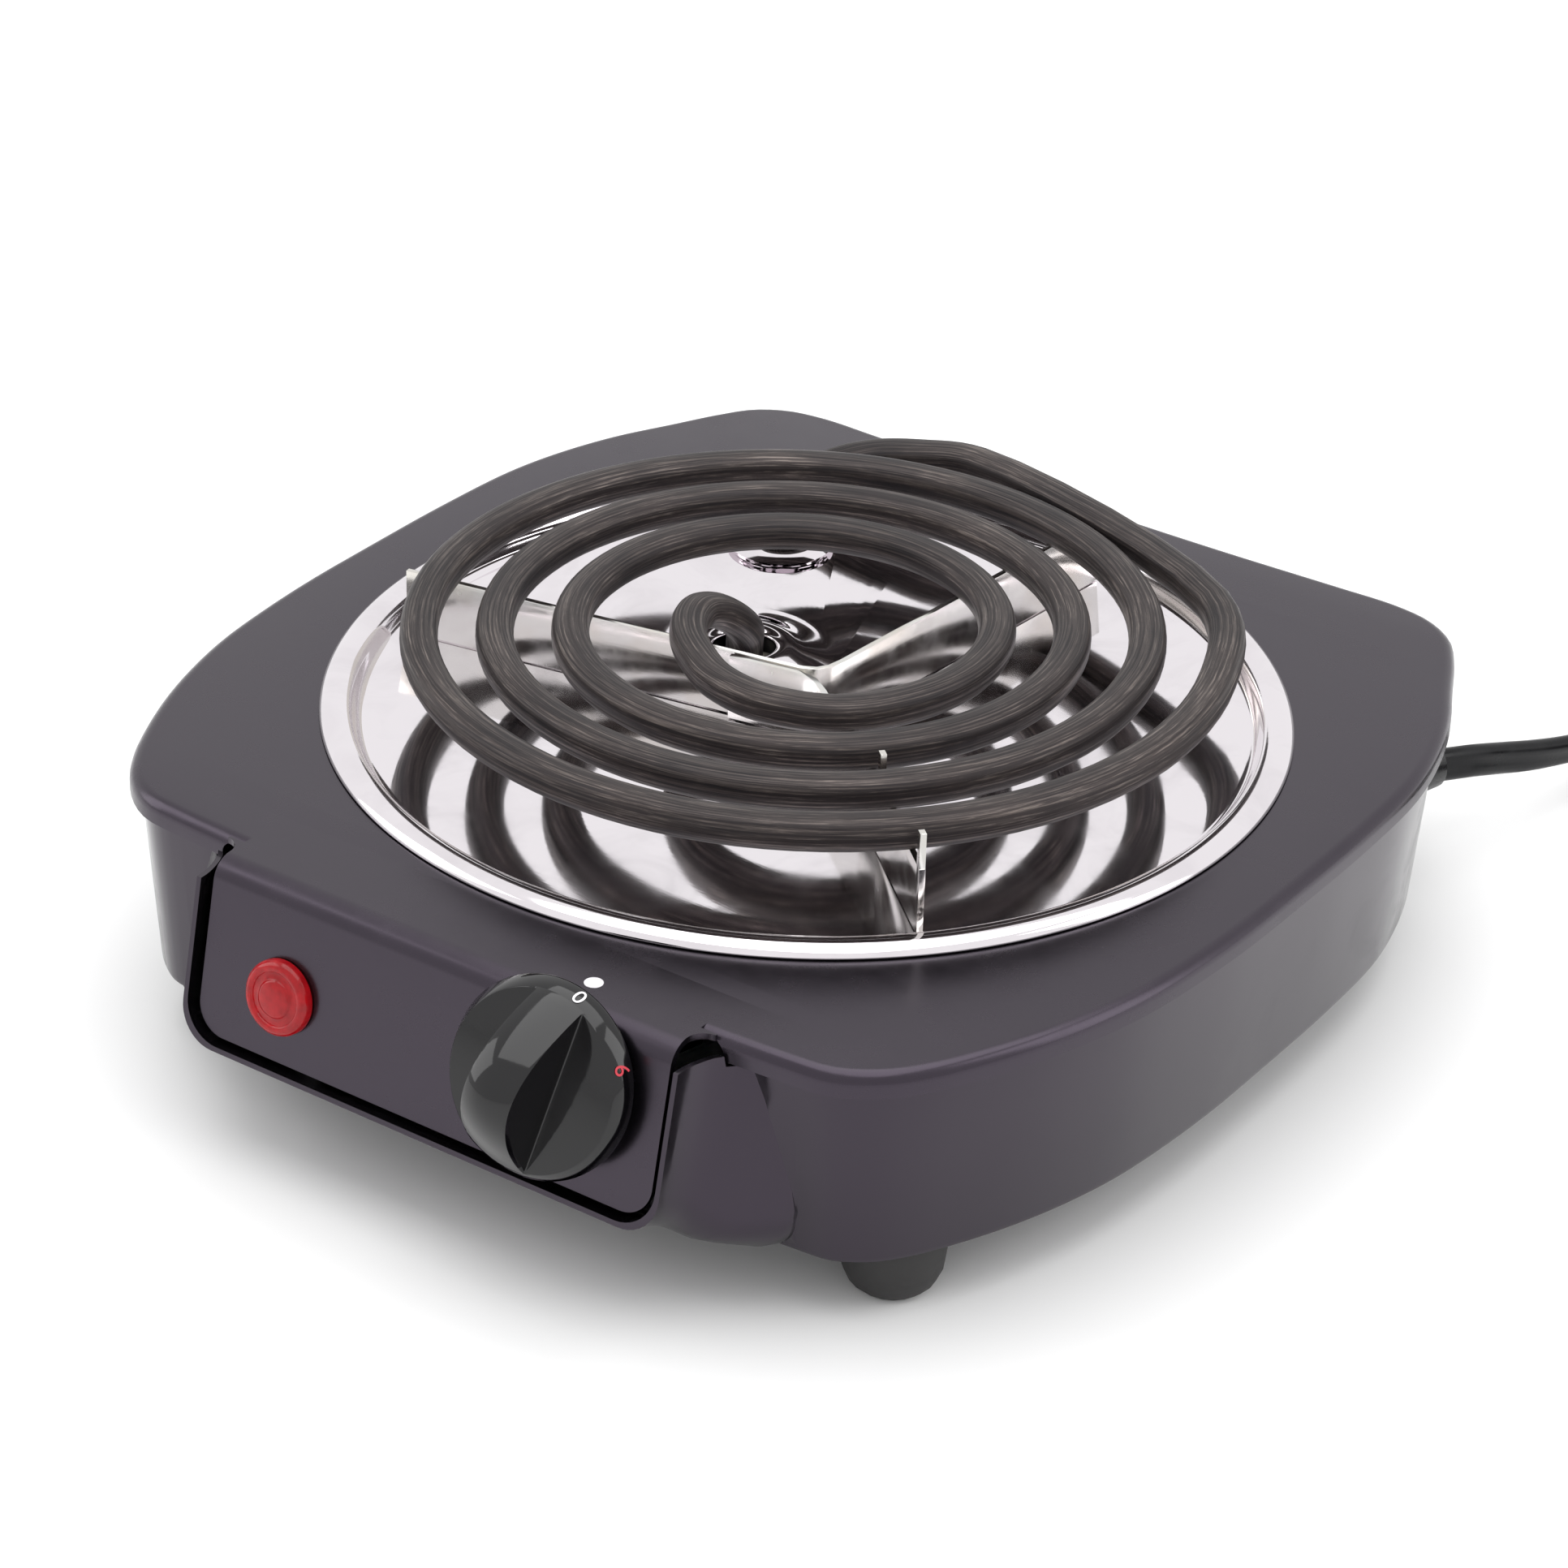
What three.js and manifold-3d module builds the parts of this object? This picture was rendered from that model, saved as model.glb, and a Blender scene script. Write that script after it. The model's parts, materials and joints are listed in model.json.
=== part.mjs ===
// Single spiral-coil electric hot plate, millimetres, +Z up, control panel towards -Y.
// Everything inside the "burner" group is drawn with z = 0 on the top face of the cover and the
// pan's centre at x = y = 0; the group then lifts it so that the feet stand on z = 0.
import * as THREE from 'three';
import { mergeVertices } from 'three/addons/utils/BufferGeometryUtils.js';
import Module from 'manifold-3d';

const wasm = await Module();
wasm.setup();

// ---------------------------------------------------------------- driving dimensions
const COVER_HEIGHT = 54;          // top of the cover above the table
const PLAN_SHIFT = 14.78;         // puts the middle of the footprint on the origin
const GAP = 0.3;                  // clearance between touching pieces

const COVER_SHEET = 1.2;
const COVER_SKIRT = 4.6;
const COVER_ROLL = 2.5;
const BASE_SHEET = 1.0;
const BASE_TOP = -3.0;            // top edge of its wall, under the cover's rolled edge
const PLATE_SHEET = 1.0;
const FLOOR_OPENING = 0.78;       // opening in the base's bottom, as a fraction of the plan
const BASE_DEPTH = 41.5;          // bottom edge of the base below the cover's top
const BASE_INSET = 1.7;           // its wall inside the cover's outline, at the top
const BASE_DRAFT = 2.9;           // how much further in the wall is at the bottom

const PAN_RIM_RADIUS = 91;
const PAN_HOLE_RADIUS = 86.6;     // hole in the cover
const PAN_FLOOR = -2.0;           // top face of the pan's floor
const PAN_SHEET = 0.8;

const TUBE_RADIUS = 3.55;         // heating element
const COIL_Z = 15.2;              // centre line above the cover's top
const COIL_CENTRE = [-1.8, 0.5];
const COIL_START_RADIUS = 81.6;
const COIL_PITCH = 14.0;
const COIL_BACK_ANGLE = 124.1;    // degrees, where the outer end begins

const PANEL_TILT = 11.86;         // degrees, panel faces slightly up
const PANEL_CORNER_Y = -110.64;   // where the panel's plane meets the cover's top plane
const PANEL_HALF_WIDTH = 49.8;
const PANEL_LENGTH = 32.3;
const PANEL_CORNER_RADIUS = 6;
const BEND_RADIUS = 4.5;
const LIP_HALF_WIDTH = 52.4;
const LIP_LENGTH = 34.6;
const EAR_END = 54.8;             // where the cover's skirt stops beside the panel
const EAR_ROUND = 2.4;
const CORNER_FILLET = 3.4;
const EAR_FRONT = -103.4;          // front face of the cover's skirt beside the panel
const LIP_PROUD = 1.5;            // the lip stands this far in front of the panel
const LIP_CORNER_RADIUS = 7.5;
const LIP_TOP = -3.2;

const KNOB_X = 26.8;
const KNOB_DOWN = 13.2;           // below the cover's corner, along the panel
const KNOB_TILT = 18;             // degrees, the thermostat's shaft points slightly up
const KNOB_YAW = 4;
const KNOB_TURN = 10;             // degrees clockwise, the grip at rest
const LAMP_X = -31.8;
const LAMP_DOWN = 19.8;

const FOOT_RADIUS = 9.5;
const FEET = {
  front_left: [-75, -79.5],
  front_right: [75, -79.5],
  rear_left: [-76, 82],
  rear_right: [76, 82],
};

const CORD_DIAMETER = 5.6;
const CORD_EXIT = [73, 99.6, -34];
const CORD_HEADING = 67;          // degrees from +X
const CORD_DROOP = 9;             // degrees below level

// half outline of the cover in plan, from the middle of the back to the middle of the front
const COVER_OUTLINE = [
  [0, 104.3], [30, 104.4], [55, 105.1], [68, 105.3], [76.5, 103.6], [83, 99.3], [87.3, 92.8],
  [92.4, 82.6], [98.1, 71], [102.4, 58.6], [105.3, 45], [106.6, 25], [106.8, 0], [106.4, -22],
  [104.2, -45], [101.2, -58.5], [97.2, -70.6], [91.9, -82.5], [87.6, -90.2], [82.6, -96.4],
  [75, -101.3], [66, -102.5], [58, -103], [50, -103.4], [30, -103.4], [0, -103.4],
];
const OUTLINE_POINTS = 72;

// ---------------------------------------------------------------- geometry helpers
const rad = (degrees) => degrees * Math.PI / 180;
const vec = (x, y, z) => new THREE.Vector3(x, y, z);

function toManifold(geometry) {
  const bare = geometry.clone();
  bare.deleteAttribute('normal');
  bare.deleteAttribute('uv');
  const merged = mergeVertices(bare, 1e-4);
  const triangles = [];
  const index = merged.index.array;
  for (let i = 0; i < index.length; i += 3) {
    const [a, b, c] = [index[i], index[i + 1], index[i + 2]];
    if (a !== b && b !== c && c !== a) triangles.push(a, b, c);
  }
  return new wasm.Manifold(new wasm.Mesh({
    numProp: 3,
    vertProperties: new Float32Array(merged.attributes.position.array),
    triVerts: new Uint32Array(triangles),
  }));
}

function toGeometry(manifold) {
  const mesh = manifold.getMesh();
  const geometry = new THREE.BufferGeometry();
  geometry.setAttribute('position', new THREE.BufferAttribute(mesh.vertProperties, 3));
  geometry.setIndex(new THREE.BufferAttribute(mesh.triVerts, 1));
  return geometry;
}

const asManifold = (piece) => (piece.isBufferGeometry ? toManifold(piece) : piece);

function cut(body, ...tools) {
  let result = asManifold(body);
  for (const tool of tools) result = result.subtract(asManifold(tool));
  return result;
}

function join(body, ...others) {
  let result = asManifold(body);
  for (const other of others) result = result.add(asManifold(other));
  return result;
}

// A closed solid through rings of equal point count, with flat ends; flatten gives the end's plane.
function loft(rings, flatten) {
  const count = rings[0].length;
  const positions = rings.flat().flatMap((p) => [p.x, p.y, p.z]);
  const indices = [];
  for (let ring = 0; ring < rings.length - 1; ring++) {
    for (let j = 0; j < count; j++) {
      const a = ring * count + j;
      const b = ring * count + (j + 1) % count;
      indices.push(a, b, b + count, a, b + count, a + count);
    }
  }
  const addCap = (ring, last) => {
    const flat = rings[ring].map(flatten);
    const ringIsAnticlockwise = THREE.ShapeUtils.area(flat) > 0;
    for (const [i, j, k] of THREE.ShapeUtils.triangulateShape(flat, [])) {
      const triangleIsAnticlockwise = THREE.ShapeUtils.area([flat[i], flat[j], flat[k]]) > 0;
      const keep = (triangleIsAnticlockwise === ringIsAnticlockwise) === last;
      const start = ring * count;
      indices.push(start + i, start + (keep ? j : k), start + (keep ? k : j));
    }
  };
  addCap(0, false);
  addCap(rings.length - 1, true);
  const geometry = new THREE.BufferGeometry();
  geometry.setAttribute('position', new THREE.Float32BufferAttribute(positions, 3));
  geometry.setIndex(indices);
  return outward(geometry);
}

const flattenPlan = (p) => new THREE.Vector2(p.x, p.y);

// Closed polygon [[x, y], ...] pushed from z = low to z = high.
function prism(points, low, high) {
  const ring = (z) => points.map(([x, y]) => vec(x, y, z));
  return loft([ring(low), ring(high)], flattenPlan);
}

function box(x0, x1, y0, y1, z0, z1) {
  return prism([[x0, y0], [x1, y0], [x1, y1], [x0, y1]], z0, z1);
}

// Solid of revolution about +Z from a profile [[radius, z], ...].
function turned(profile, segments = 32) {
  const points = profile.map(([r, z]) => new THREE.Vector2(r, z));
  if (profile[0][0] > 0) points.push(points[0].clone());
  const geometry = new THREE.LatheGeometry(points, segments);
  geometry.rotateX(Math.PI / 2);
  return outward(geometry);
}

function outward(geometry) {
  const solid = geometry.clone();
  solid.deleteAttribute('normal');
  solid.deleteAttribute('uv');
  const merged = mergeVertices(solid, 1e-4);
  const p = merged.attributes.position;
  const index = Array.from(merged.index.array);
  let volume = 0;
  const [a, b, c] = [vec(0, 0, 0), vec(0, 0, 0), vec(0, 0, 0)];
  for (let i = 0; i < index.length; i += 3) {
    a.fromBufferAttribute(p, index[i]);
    b.fromBufferAttribute(p, index[i + 1]);
    c.fromBufferAttribute(p, index[i + 2]);
    volume += a.dot(b.cross(c));
  }
  if (volume < 0) {
    for (let i = 0; i < index.length; i += 3) [index[i + 1], index[i + 2]] = [index[i + 2], index[i + 1]];
    merged.setIndex(index);
  }
  return merged;
}

function drum(radius, low, high, segments = 24) {
  return turned([[0, low], [radius, low], [radius, high], [0, high]], segments);
}

function ringOf(inner, outer, low, high, segments = 24) {
  return turned([[inner, low], [outer, low], [outer, high], [inner, high]], segments);
}

// Round wire, tube or rod along a curve.
function tube(curve, radius, sides, steps) {
  const section = new THREE.Shape();
  for (let i = 0; i < sides; i++) {
    const angle = 2 * Math.PI * i / sides;
    const [x, y] = [radius * Math.cos(angle), radius * Math.sin(angle)];
    if (i === 0) section.moveTo(x, y);
    else section.lineTo(x, y);
  }
  section.closePath();
  const settings = { steps, extrudePath: curve, bevelEnabled: false, curveSegments: 1 };
  return outward(new THREE.ExtrudeGeometry(section, settings));
}

function smooth(points) {
  return new THREE.CatmullRomCurve3(points.map(([x, y, z]) => vec(x, y, z)), false, 'centripetal');
}

function moved(geometry, x, y, z) {
  const copy = geometry.clone();
  copy.translate(x, y, z);
  return copy;
}

function placed(geometry, matrix) {
  const copy = geometry.clone();
  copy.applyMatrix4(matrix);
  return copy;
}

// ---------------------------------------------------------------- plan outline
const LEFT_OUTLINE = COVER_OUTLINE.slice(1, -1).reverse().map(([x, y]) => [-x, y]);
const OUTLINE_CURVE = new THREE.CatmullRomCurve3(
  [...COVER_OUTLINE, ...LEFT_OUTLINE].map(([x, y]) => vec(x, y, 0)), true, 'centripetal',
);
const OUTLINE = OUTLINE_CURVE.getSpacedPoints(OUTLINE_POINTS).slice(0, OUTLINE_POINTS).reverse();

// The outline moved inwards by a distance, at height z.
function outlineRing(inset, z) {
  return OUTLINE.map((point, i) => {
    const before = OUTLINE[(i + OUTLINE.length - 1) % OUTLINE.length];
    const after = OUTLINE[(i + 1) % OUTLINE.length];
    const along = after.clone().sub(before).normalize();
    return vec(point.x - along.y * inset, point.y + along.x * inset, z);
  });
}

// ---------------------------------------------------------------- local frames
// Panel frame: x across, y up the panel, z out of its front face, origin on the cover's corner.
const PANEL_FRAME = new THREE.Matrix4().makeBasis(
  vec(1, 0, 0),
  vec(0, Math.sin(rad(PANEL_TILT)), Math.cos(rad(PANEL_TILT))),
  vec(0, -Math.cos(rad(PANEL_TILT)), Math.sin(rad(PANEL_TILT))),
).setPosition(0, PANEL_CORNER_Y, 0);

const KNOB_AXIS = vec(
  Math.sin(rad(KNOB_YAW)) * Math.cos(rad(KNOB_TILT)),
  -Math.cos(rad(KNOB_YAW)) * Math.cos(rad(KNOB_TILT)),
  Math.sin(rad(KNOB_TILT)),
);
const KNOB_ACROSS = vec(Math.cos(rad(KNOB_YAW)), Math.sin(rad(KNOB_YAW)), 0);
const KNOB_PIVOT = vec(KNOB_X, -KNOB_DOWN, 0).applyMatrix4(PANEL_FRAME);
// Frame of the thermostat's fixed pieces: z along the shaft towards the hand, y up the panel.
const KNOB_FRAME_STRAIGHT = new THREE.Matrix4()
  .makeBasis(KNOB_ACROSS, KNOB_AXIS.clone().cross(KNOB_ACROSS), KNOB_AXIS)
  .setPosition(KNOB_PIVOT);
// The same frame turned to the knob's rest position.
const KNOB_FRAME = KNOB_FRAME_STRAIGHT.clone()
  .multiply(new THREE.Matrix4().makeRotationZ(-rad(KNOB_TURN)));

const LAMP_FRAME = PANEL_FRAME.clone()
  .multiply(new THREE.Matrix4().makeTranslation(LAMP_X, -LAMP_DOWN, 0));

// Cord frame: z along the cord as it leaves the base.
const CORD_ACROSS = vec(-Math.sin(rad(CORD_HEADING)), Math.cos(rad(CORD_HEADING)), 0);
const CORD_ALONG = vec(
  Math.cos(rad(CORD_HEADING)) * Math.cos(rad(CORD_DROOP)),
  Math.sin(rad(CORD_HEADING)) * Math.cos(rad(CORD_DROOP)),
  -Math.sin(rad(CORD_DROOP)),
);
const CORD_FRAME = new THREE.Matrix4()
  .makeBasis(CORD_ACROSS, CORD_ALONG.clone().cross(CORD_ACROSS), CORD_ALONG)
  .setPosition(...CORD_EXIT);

// ---------------------------------------------------------------- cover and base
// Rounded strip shape for the panel and the lip: open upwards, rounded at the bottom.
function panelShape(halfWidth, length, cornerRadius, top) {
  const points = [[-halfWidth, top]];
  const steps = 5;
  for (let i = 0; i <= steps; i++) {
    const angle = Math.PI + Math.PI / 2 * i / steps;
    points.push([
      -halfWidth + cornerRadius + cornerRadius * Math.cos(angle),
      -length + cornerRadius + cornerRadius * Math.sin(angle),
    ]);
  }
  return [...points, ...points.slice().reverse().map(([x, y]) => [-x, y])];
}

// Cover plate that runs forward between the ears, bends and becomes the panel.
function frontPanelSheet() {
  const backEnd = -92;
  const extra = 3;
  const steps = 5;
  const bendAngle = Math.PI / 2 - rad(PANEL_TILT);
  const tangent = BEND_RADIUS * Math.tan(bendAngle / 2);
  const centre = [PANEL_CORNER_Y + tangent, -BEND_RADIUS];
  const downY = -Math.sin(rad(PANEL_TILT));
  const downZ = -Math.cos(rad(PANEL_TILT));
  const face = (depth) => {
    const line = [[backEnd, -depth]];
    const radius = BEND_RADIUS - depth;
    for (let i = 0; i <= steps; i++) {
      const angle = Math.PI / 2 + bendAngle * i / steps;
      line.push([centre[0] + radius * Math.cos(angle), centre[1] + radius * Math.sin(angle)]);
    }
    const end = PANEL_LENGTH + extra;
    line.push([PANEL_CORNER_Y + end * downY - depth * downZ, end * downZ + depth * downY]);
    return line;
  };
  const profile = [...face(0), ...face(COVER_SHEET).reverse()];
  const ring = (x) => profile.map(([y, z]) => vec(x, y, z));
  const flattenSide = (p) => new THREE.Vector2(p.y, p.z);
  const sheet = toManifold(loft([ring(-PANEL_HALF_WIDTH), ring(PANEL_HALF_WIDTH)], flattenSide));
  const shape = panelShape(PANEL_HALF_WIDTH + 0.01, PANEL_LENGTH, PANEL_CORNER_RADIUS, 30);
  return sheet.intersect(toManifold(placed(prism(shape, -40, 20), PANEL_FRAME)));
}

// The room cut out of the skirt for the panel and the lip beside it, with rounded top corners.
function earGap() {
  const top = -COVER_SHEET - 0.02;
  const steps = 4;
  const right = [[EAR_END, -20]];
  for (let i = 0; i <= steps; i++) {
    const angle = Math.PI / 2 * i / steps;
    right.push([
      EAR_END - EAR_ROUND + EAR_ROUND * Math.cos(angle),
      top - EAR_ROUND + EAR_ROUND * Math.sin(angle),
    ]);
  }
  const outline = [...right, ...right.slice().reverse().map(([x, z]) => [-x, z])];
  const ring = (y) => outline.map(([x, z]) => vec(x, y, z));
  return loft([ring(-140), ring(-98)], (p) => new THREE.Vector2(p.x, p.z));
}

// Rounds the inside corner in plan between the skirt and the side of the panel.
function cornerFillet(side) {
  const lap = 0.5;
  const [x0, x1] = [PANEL_HALF_WIDTH, PANEL_HALF_WIDTH + CORNER_FILLET];
  const points = [[x0 - lap, EAR_FRONT + lap], [x1, EAR_FRONT + lap]];
  const steps = 5;
  for (let i = 0; i <= steps; i++) {
    const angle = Math.PI / 2 * (1 + i / steps);
    points.push([
      x1 + CORNER_FILLET * Math.cos(angle),
      EAR_FRONT - CORNER_FILLET * (1 - Math.sin(angle)),
    ]);
  }
  points.push([x0 - lap, EAR_FRONT - CORNER_FILLET]);
  return prism(points.map(([x, y]) => [side * x, y]), -COVER_SHEET, 0);
}

function topCover() {
  const roll = (inset, steps) => {
    const rings = [];
    for (let i = 0; i <= steps; i++) {
      const angle = Math.PI / 2 * i / steps;
      rings.push([inset + COVER_ROLL * (1 - Math.cos(angle)), -COVER_ROLL + COVER_ROLL * Math.sin(angle)]);
    }
    return rings;
  };
  const outer = loft([
    outlineRing(0, -COVER_SKIRT),
    ...roll(0, 4).map(([inset, z]) => outlineRing(inset, z)),
  ], flattenPlan);
  const inner = loft([
    outlineRing(COVER_SHEET, -COVER_SKIRT - 2),
    ...roll(COVER_SHEET, 3).map(([inset, z]) => outlineRing(inset, z - COVER_SHEET)),
  ], flattenPlan);
  const shell = join(cut(outer, inner, earGap()), frontPanelSheet(), cornerFillet(1), cornerFillet(-1));
  const lampHole = placed(drum(5.9, -10, 10, 20), LAMP_FRAME);
  const shaftHole = placed(drum(6.5, -10, 10, 20), KNOB_FRAME);
  return cut(shell, drum(PAN_HOLE_RADIUS, -20, 20, 60), lampHole, shaftHole);
}

function footHoles() {
  const hole = drum(2.3, -BASE_DEPTH - 3, -BASE_DEPTH + 4, 12);
  return Object.values(FEET).map(([x, y]) => moved(hole, x, y, 0));
}

// Funnel that runs from the base wall forward to the lip round the panel.
function frontFunnel(shrink, front, top) {
  // [how far out from the lip, how much wider, how much deeper]
  const stations = [
    [front, 0, 0], [-2.5, 0.2, 0.1], [-6, 1.2, 0.5], [-9, 3, 1.4], [-12, 6.4, 3], [-19, 14, 3.6],
    [-28, 17, 3.8],
  ];
  const rings = stations.map(([out, wider, deeper]) => {
    const halfWidth = LIP_HALF_WIDTH + wider - shrink;
    const length = LIP_LENGTH + deeper - shrink;
    return panelShape(halfWidth, length, LIP_CORNER_RADIUS, top).map(([x, y]) => vec(x, y, LIP_PROUD + out));
  });
  const below = box(-140, 140, -160, 0, -80, -BASE_DEPTH + shrink);
  return cut(placed(loft(rings, flattenPlan), PANEL_FRAME), below);
}

function baseShell() {
  const foot = BASE_INSET + BASE_DRAFT;
  const outer = loft([
    outlineRing(foot + 1.2, -BASE_DEPTH),
    outlineRing(foot + 0.3, -BASE_DEPTH + 0.6),
    outlineRing(foot, -BASE_DEPTH + 1.6),
    outlineRing(BASE_INSET, 1),
  ], flattenPlan);
  const inner = loft([
    outlineRing(foot + BASE_SHEET, -BASE_DEPTH + BASE_SHEET),
    outlineRing(BASE_INSET + BASE_SHEET, 4),
  ], flattenPlan);
  const openingRing = (z) => OUTLINE.map((p) => vec(p.x * FLOOR_OPENING, p.y * FLOOR_OPENING, z));
  const floorOpening = loft([openingRing(-BASE_DEPTH - 3), openingRing(-BASE_DEPTH + 3)], flattenPlan);
  const above = box(-140, 140, -160, 140, BASE_TOP, 30);
  const aboveLip = box(-140, 140, -160, -103.2, LIP_TOP, 30);
  const skirtInside = COVER_SHEET + GAP + 0.05;
  const skirtRoom = cut(
    loft([outlineRing(-0.6, -COVER_SKIRT - 0.5), outlineRing(-0.6, 4)], flattenPlan),
    loft([outlineRing(skirtInside, -20), outlineRing(skirtInside, 20)], flattenPlan),
    box(-EAR_END + 0.4, EAR_END - 0.4, -140, -90, -30, 30),
  );
  const cordHole = placed(drum(5.4, -12, 12, 16), CORD_FRAME);
  return cut(
    join(outer, frontFunnel(0, 0, 8)),
    inner, frontFunnel(BASE_SHEET, 3, 12), floorOpening, above, aboveLip, skirtRoom, cordHole, ...footHoles(),
  );
}

function bottomPlate() {
  const inset = BASE_INSET + BASE_DRAFT + BASE_SHEET + 2 * GAP;
  const low = -BASE_DEPTH + BASE_SHEET + GAP;
  const plate = loft([outlineRing(inset, low), outlineRing(inset, low + PLATE_SHEET)], flattenPlan);
  const slots = [];
  for (const y of [-20, 34]) {
    for (let x = -33; x <= 33; x += 11) {
      slots.push(box(x - 2, x + 2, y - 12, y + 12, low - 2, low + 3));
    }
  }
  return cut(plate, ...slots, ...footHoles());
}

// ---------------------------------------------------------------- feet
function foot(x, y) {
  const top = -BASE_DEPTH - GAP;
  const floor = -COVER_HEIGHT;
  return moved(turned([
    [2.2, top], [FOOT_RADIUS, top], [FOOT_RADIUS, floor + 7.5], [9.1, floor + 4.4], [7.9, floor + 1.6],
    [6.2, floor], [4.6, floor], [4.3, floor + 4.5], [2.2, floor + 4.5],
  ], 20), x, y, 0);
}

function footScrew(x, y) {
  const head = -COVER_HEIGHT + 2.2;
  const nut = -BASE_DEPTH + BASE_SHEET + PLATE_SHEET + 2 * GAP;
  return moved(turned([
    [0, head + 0.8], [1.6, head], [3.6, head + 0.4], [3.6, head + 2], [1.8, head + 2], [1.8, nut],
    [3.4, nut], [3.4, nut + 2.4], [1.8, nut + 2.4], [1.8, nut + 3.6], [0, nut + 3.6],
  ], 10), x, y, 0);
}

// ---------------------------------------------------------------- drip pan
const HOLE_INNER = [-23.4, 12.6];
const HOLE_OUTER = [-43.6, 53.6];

// Raised ring round a hole that an end of the element goes through; the radii are those of its
// foot on the pan's floor, of its crest and of the hole's lip.
function panBoss(base, crest, lip, rise) {
  const t = PAN_SHEET;
  const f = PAN_FLOOR;
  const top = f + rise;
  return turned([
    [base, f - t], [base, f], [base - 2, f + 0.2], [crest + 2.4, f + rise * 0.75], [crest + 0.6, top],
    [crest - 0.6, top], [lip + 0.3, top - 0.6], [lip, top - 1.4], [lip + t, top - 1.5],
    [crest - 0.4, top - t], [crest + 0.4, top - t], [crest + 2.6, f + rise * 0.75 - t],
    [base - 2, f + 0.1 - t],
  ], 24);
}

function dripPan() {
  const t = PAN_SHEET;
  const f = PAN_FLOOR;
  const R = PAN_RIM_RADIUS;
  const dish = turned([
    [0, f], [82.5, f], [83.6, f + 0.3], [84.4, f + 1.5], [85, f + 3.2], [86, f + 4], [88.2, f + 4.1],
    [89.8, f + 3.7], [R, f + 2.9], [R, GAP], [R - t, GAP], [R - t - 0.4, f + 2.9], [R - 2.8, f + 3.3],
    [R - 4.6, f + 3.2], [85.7, f + 2.5], [85.2, f + 0.9], [84.4, f - 0.4], [83, f - t], [0, f - t],
  ], 60);
  const plain = cut(
    dish,
    moved(drum(17.6, -8, 8, 24), ...HOLE_INNER, 0),
    moved(drum(10.6, -8, 8, 24), ...HOLE_OUTER, 0),
  );
  return join(
    plain,
    moved(panBoss(18.2, 8, 5.9, 2.2), ...HOLE_INNER, 0),
    moved(panBoss(11.2, 7.2, 5.4, 1.8), ...HOLE_OUTER, 0),
  );
}

// ---------------------------------------------------------------- heating element
function coilPoint(turns) {
  const radius = COIL_START_RADIUS - COIL_PITCH * turns;
  const angle = rad(COIL_BACK_ANGLE) - 2 * Math.PI * turns;
  return [COIL_CENTRE[0] + radius * Math.cos(angle), COIL_CENTRE[1] + radius * Math.sin(angle), COIL_Z];
}

// Up through the outer hole, round the spiral inwards, then down through the inner hole.
function elementPath() {
  const outerEnd = [
    [...HOLE_OUTER, -22], [...HOLE_OUTER, -12], [...HOLE_OUTER, -2], [-43.9, 55, 1.6], [-45.2, 60, 4.8],
    [-46, 66, 6.3], [-43.4, 71.4, 8.6], [-36.6, 74.6, 11.4], [-26, 76.8, 13.8], [-14, 78.9, 15],
  ];
  const spiral = [];
  for (let turns = 0.22; turns < 3.5; turns += 1 / 16) spiral.push(coilPoint(turns));
  const innerEnd = [
    [8.8, -27.6, COIL_Z], [-2.2, -26.1, COIL_Z], [-9.4, -21.9, COIL_Z], [-15.5, -16.7, COIL_Z],
    [-19.5, -10.9, COIL_Z], [-21, -5.6, 15], [-20.4, -1, 13.6], [-19.4, 3.2, 10.6], [-20, 7.6, 6],
    [-22.4, 11.2, 0.6], [...HOLE_INNER, -4], [...HOLE_INNER, -12], [...HOLE_INNER, -22],
  ];
  return [...outerEnd, ...spiral, ...innerEnd];
}

const heatingCoil = () => tube(smooth(elementPath()), TUBE_RADIUS, 8, 150);

// Flat strip on edge, following a plan line [[x, y], ...].
function strip(line, thickness, low, high) {
  const side = (offset) => line.map(([x, y], i) => {
    const before = line[Math.max(i - 1, 0)];
    const after = line[Math.min(i + 1, line.length - 1)];
    const length = Math.hypot(after[0] - before[0], after[1] - before[1]);
    return [x - offset * (after[1] - before[1]) / length, y + offset * (after[0] - before[0]) / length];
  });
  return prism([...side(-thickness / 2), ...side(thickness / 2).reverse()], low, high);
}

const STRIP_LOW = PAN_FLOOR + GAP;
const STRIP_HIGH = COIL_Z - TUBE_RADIUS - GAP;
const STRIP = 1.1;                // its thickness

// Bent strip whose one arm runs to the back of the pan and the other to its left.
const coilSupportRear = () => strip([
  [14, 79.5], [13.2, 70], [7.2, 0.5], [6.6, -2.6], [5.2, -4.8], [2.6, -6.2], [-0.6, -6.9],
  [-68, -18.6], [-79, -20.5],
], STRIP, STRIP_LOW, STRIP_HIGH);

// Strip to the front right, with two upright fingers that hold the turns from the side.
function coilSupportFront() {
  const outwards = -41.9;
  const fingerWidth = 1.7;
  const fingerTop = COIL_Z + 3.1;
  const finger = ([x, y]) => {
    const [dx, dy] = [fingerWidth / 2 * Math.cos(rad(outwards)), fingerWidth / 2 * Math.sin(rad(outwards))];
    return strip([[x - dx, y - dy], [x + dx, y + dy]], STRIP, STRIP_HIGH - 3, fingerTop);
  };
  const between = [39.2, -34];
  const outside = [60.1, -52.8];
  const arm = strip([
    [-10.5, -10.4], [2.8, -8], [7.2, -8.6], [11, -11.2], between, [60.9, -53.5],
  ], STRIP, STRIP_LOW, STRIP_HIGH);
  return join(arm, finger(between), finger(outside));
}

// ---------------------------------------------------------------- inside the base
const SHIELD_TOP = -9;

const SHIELD_SHEET = 0.8;

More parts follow.
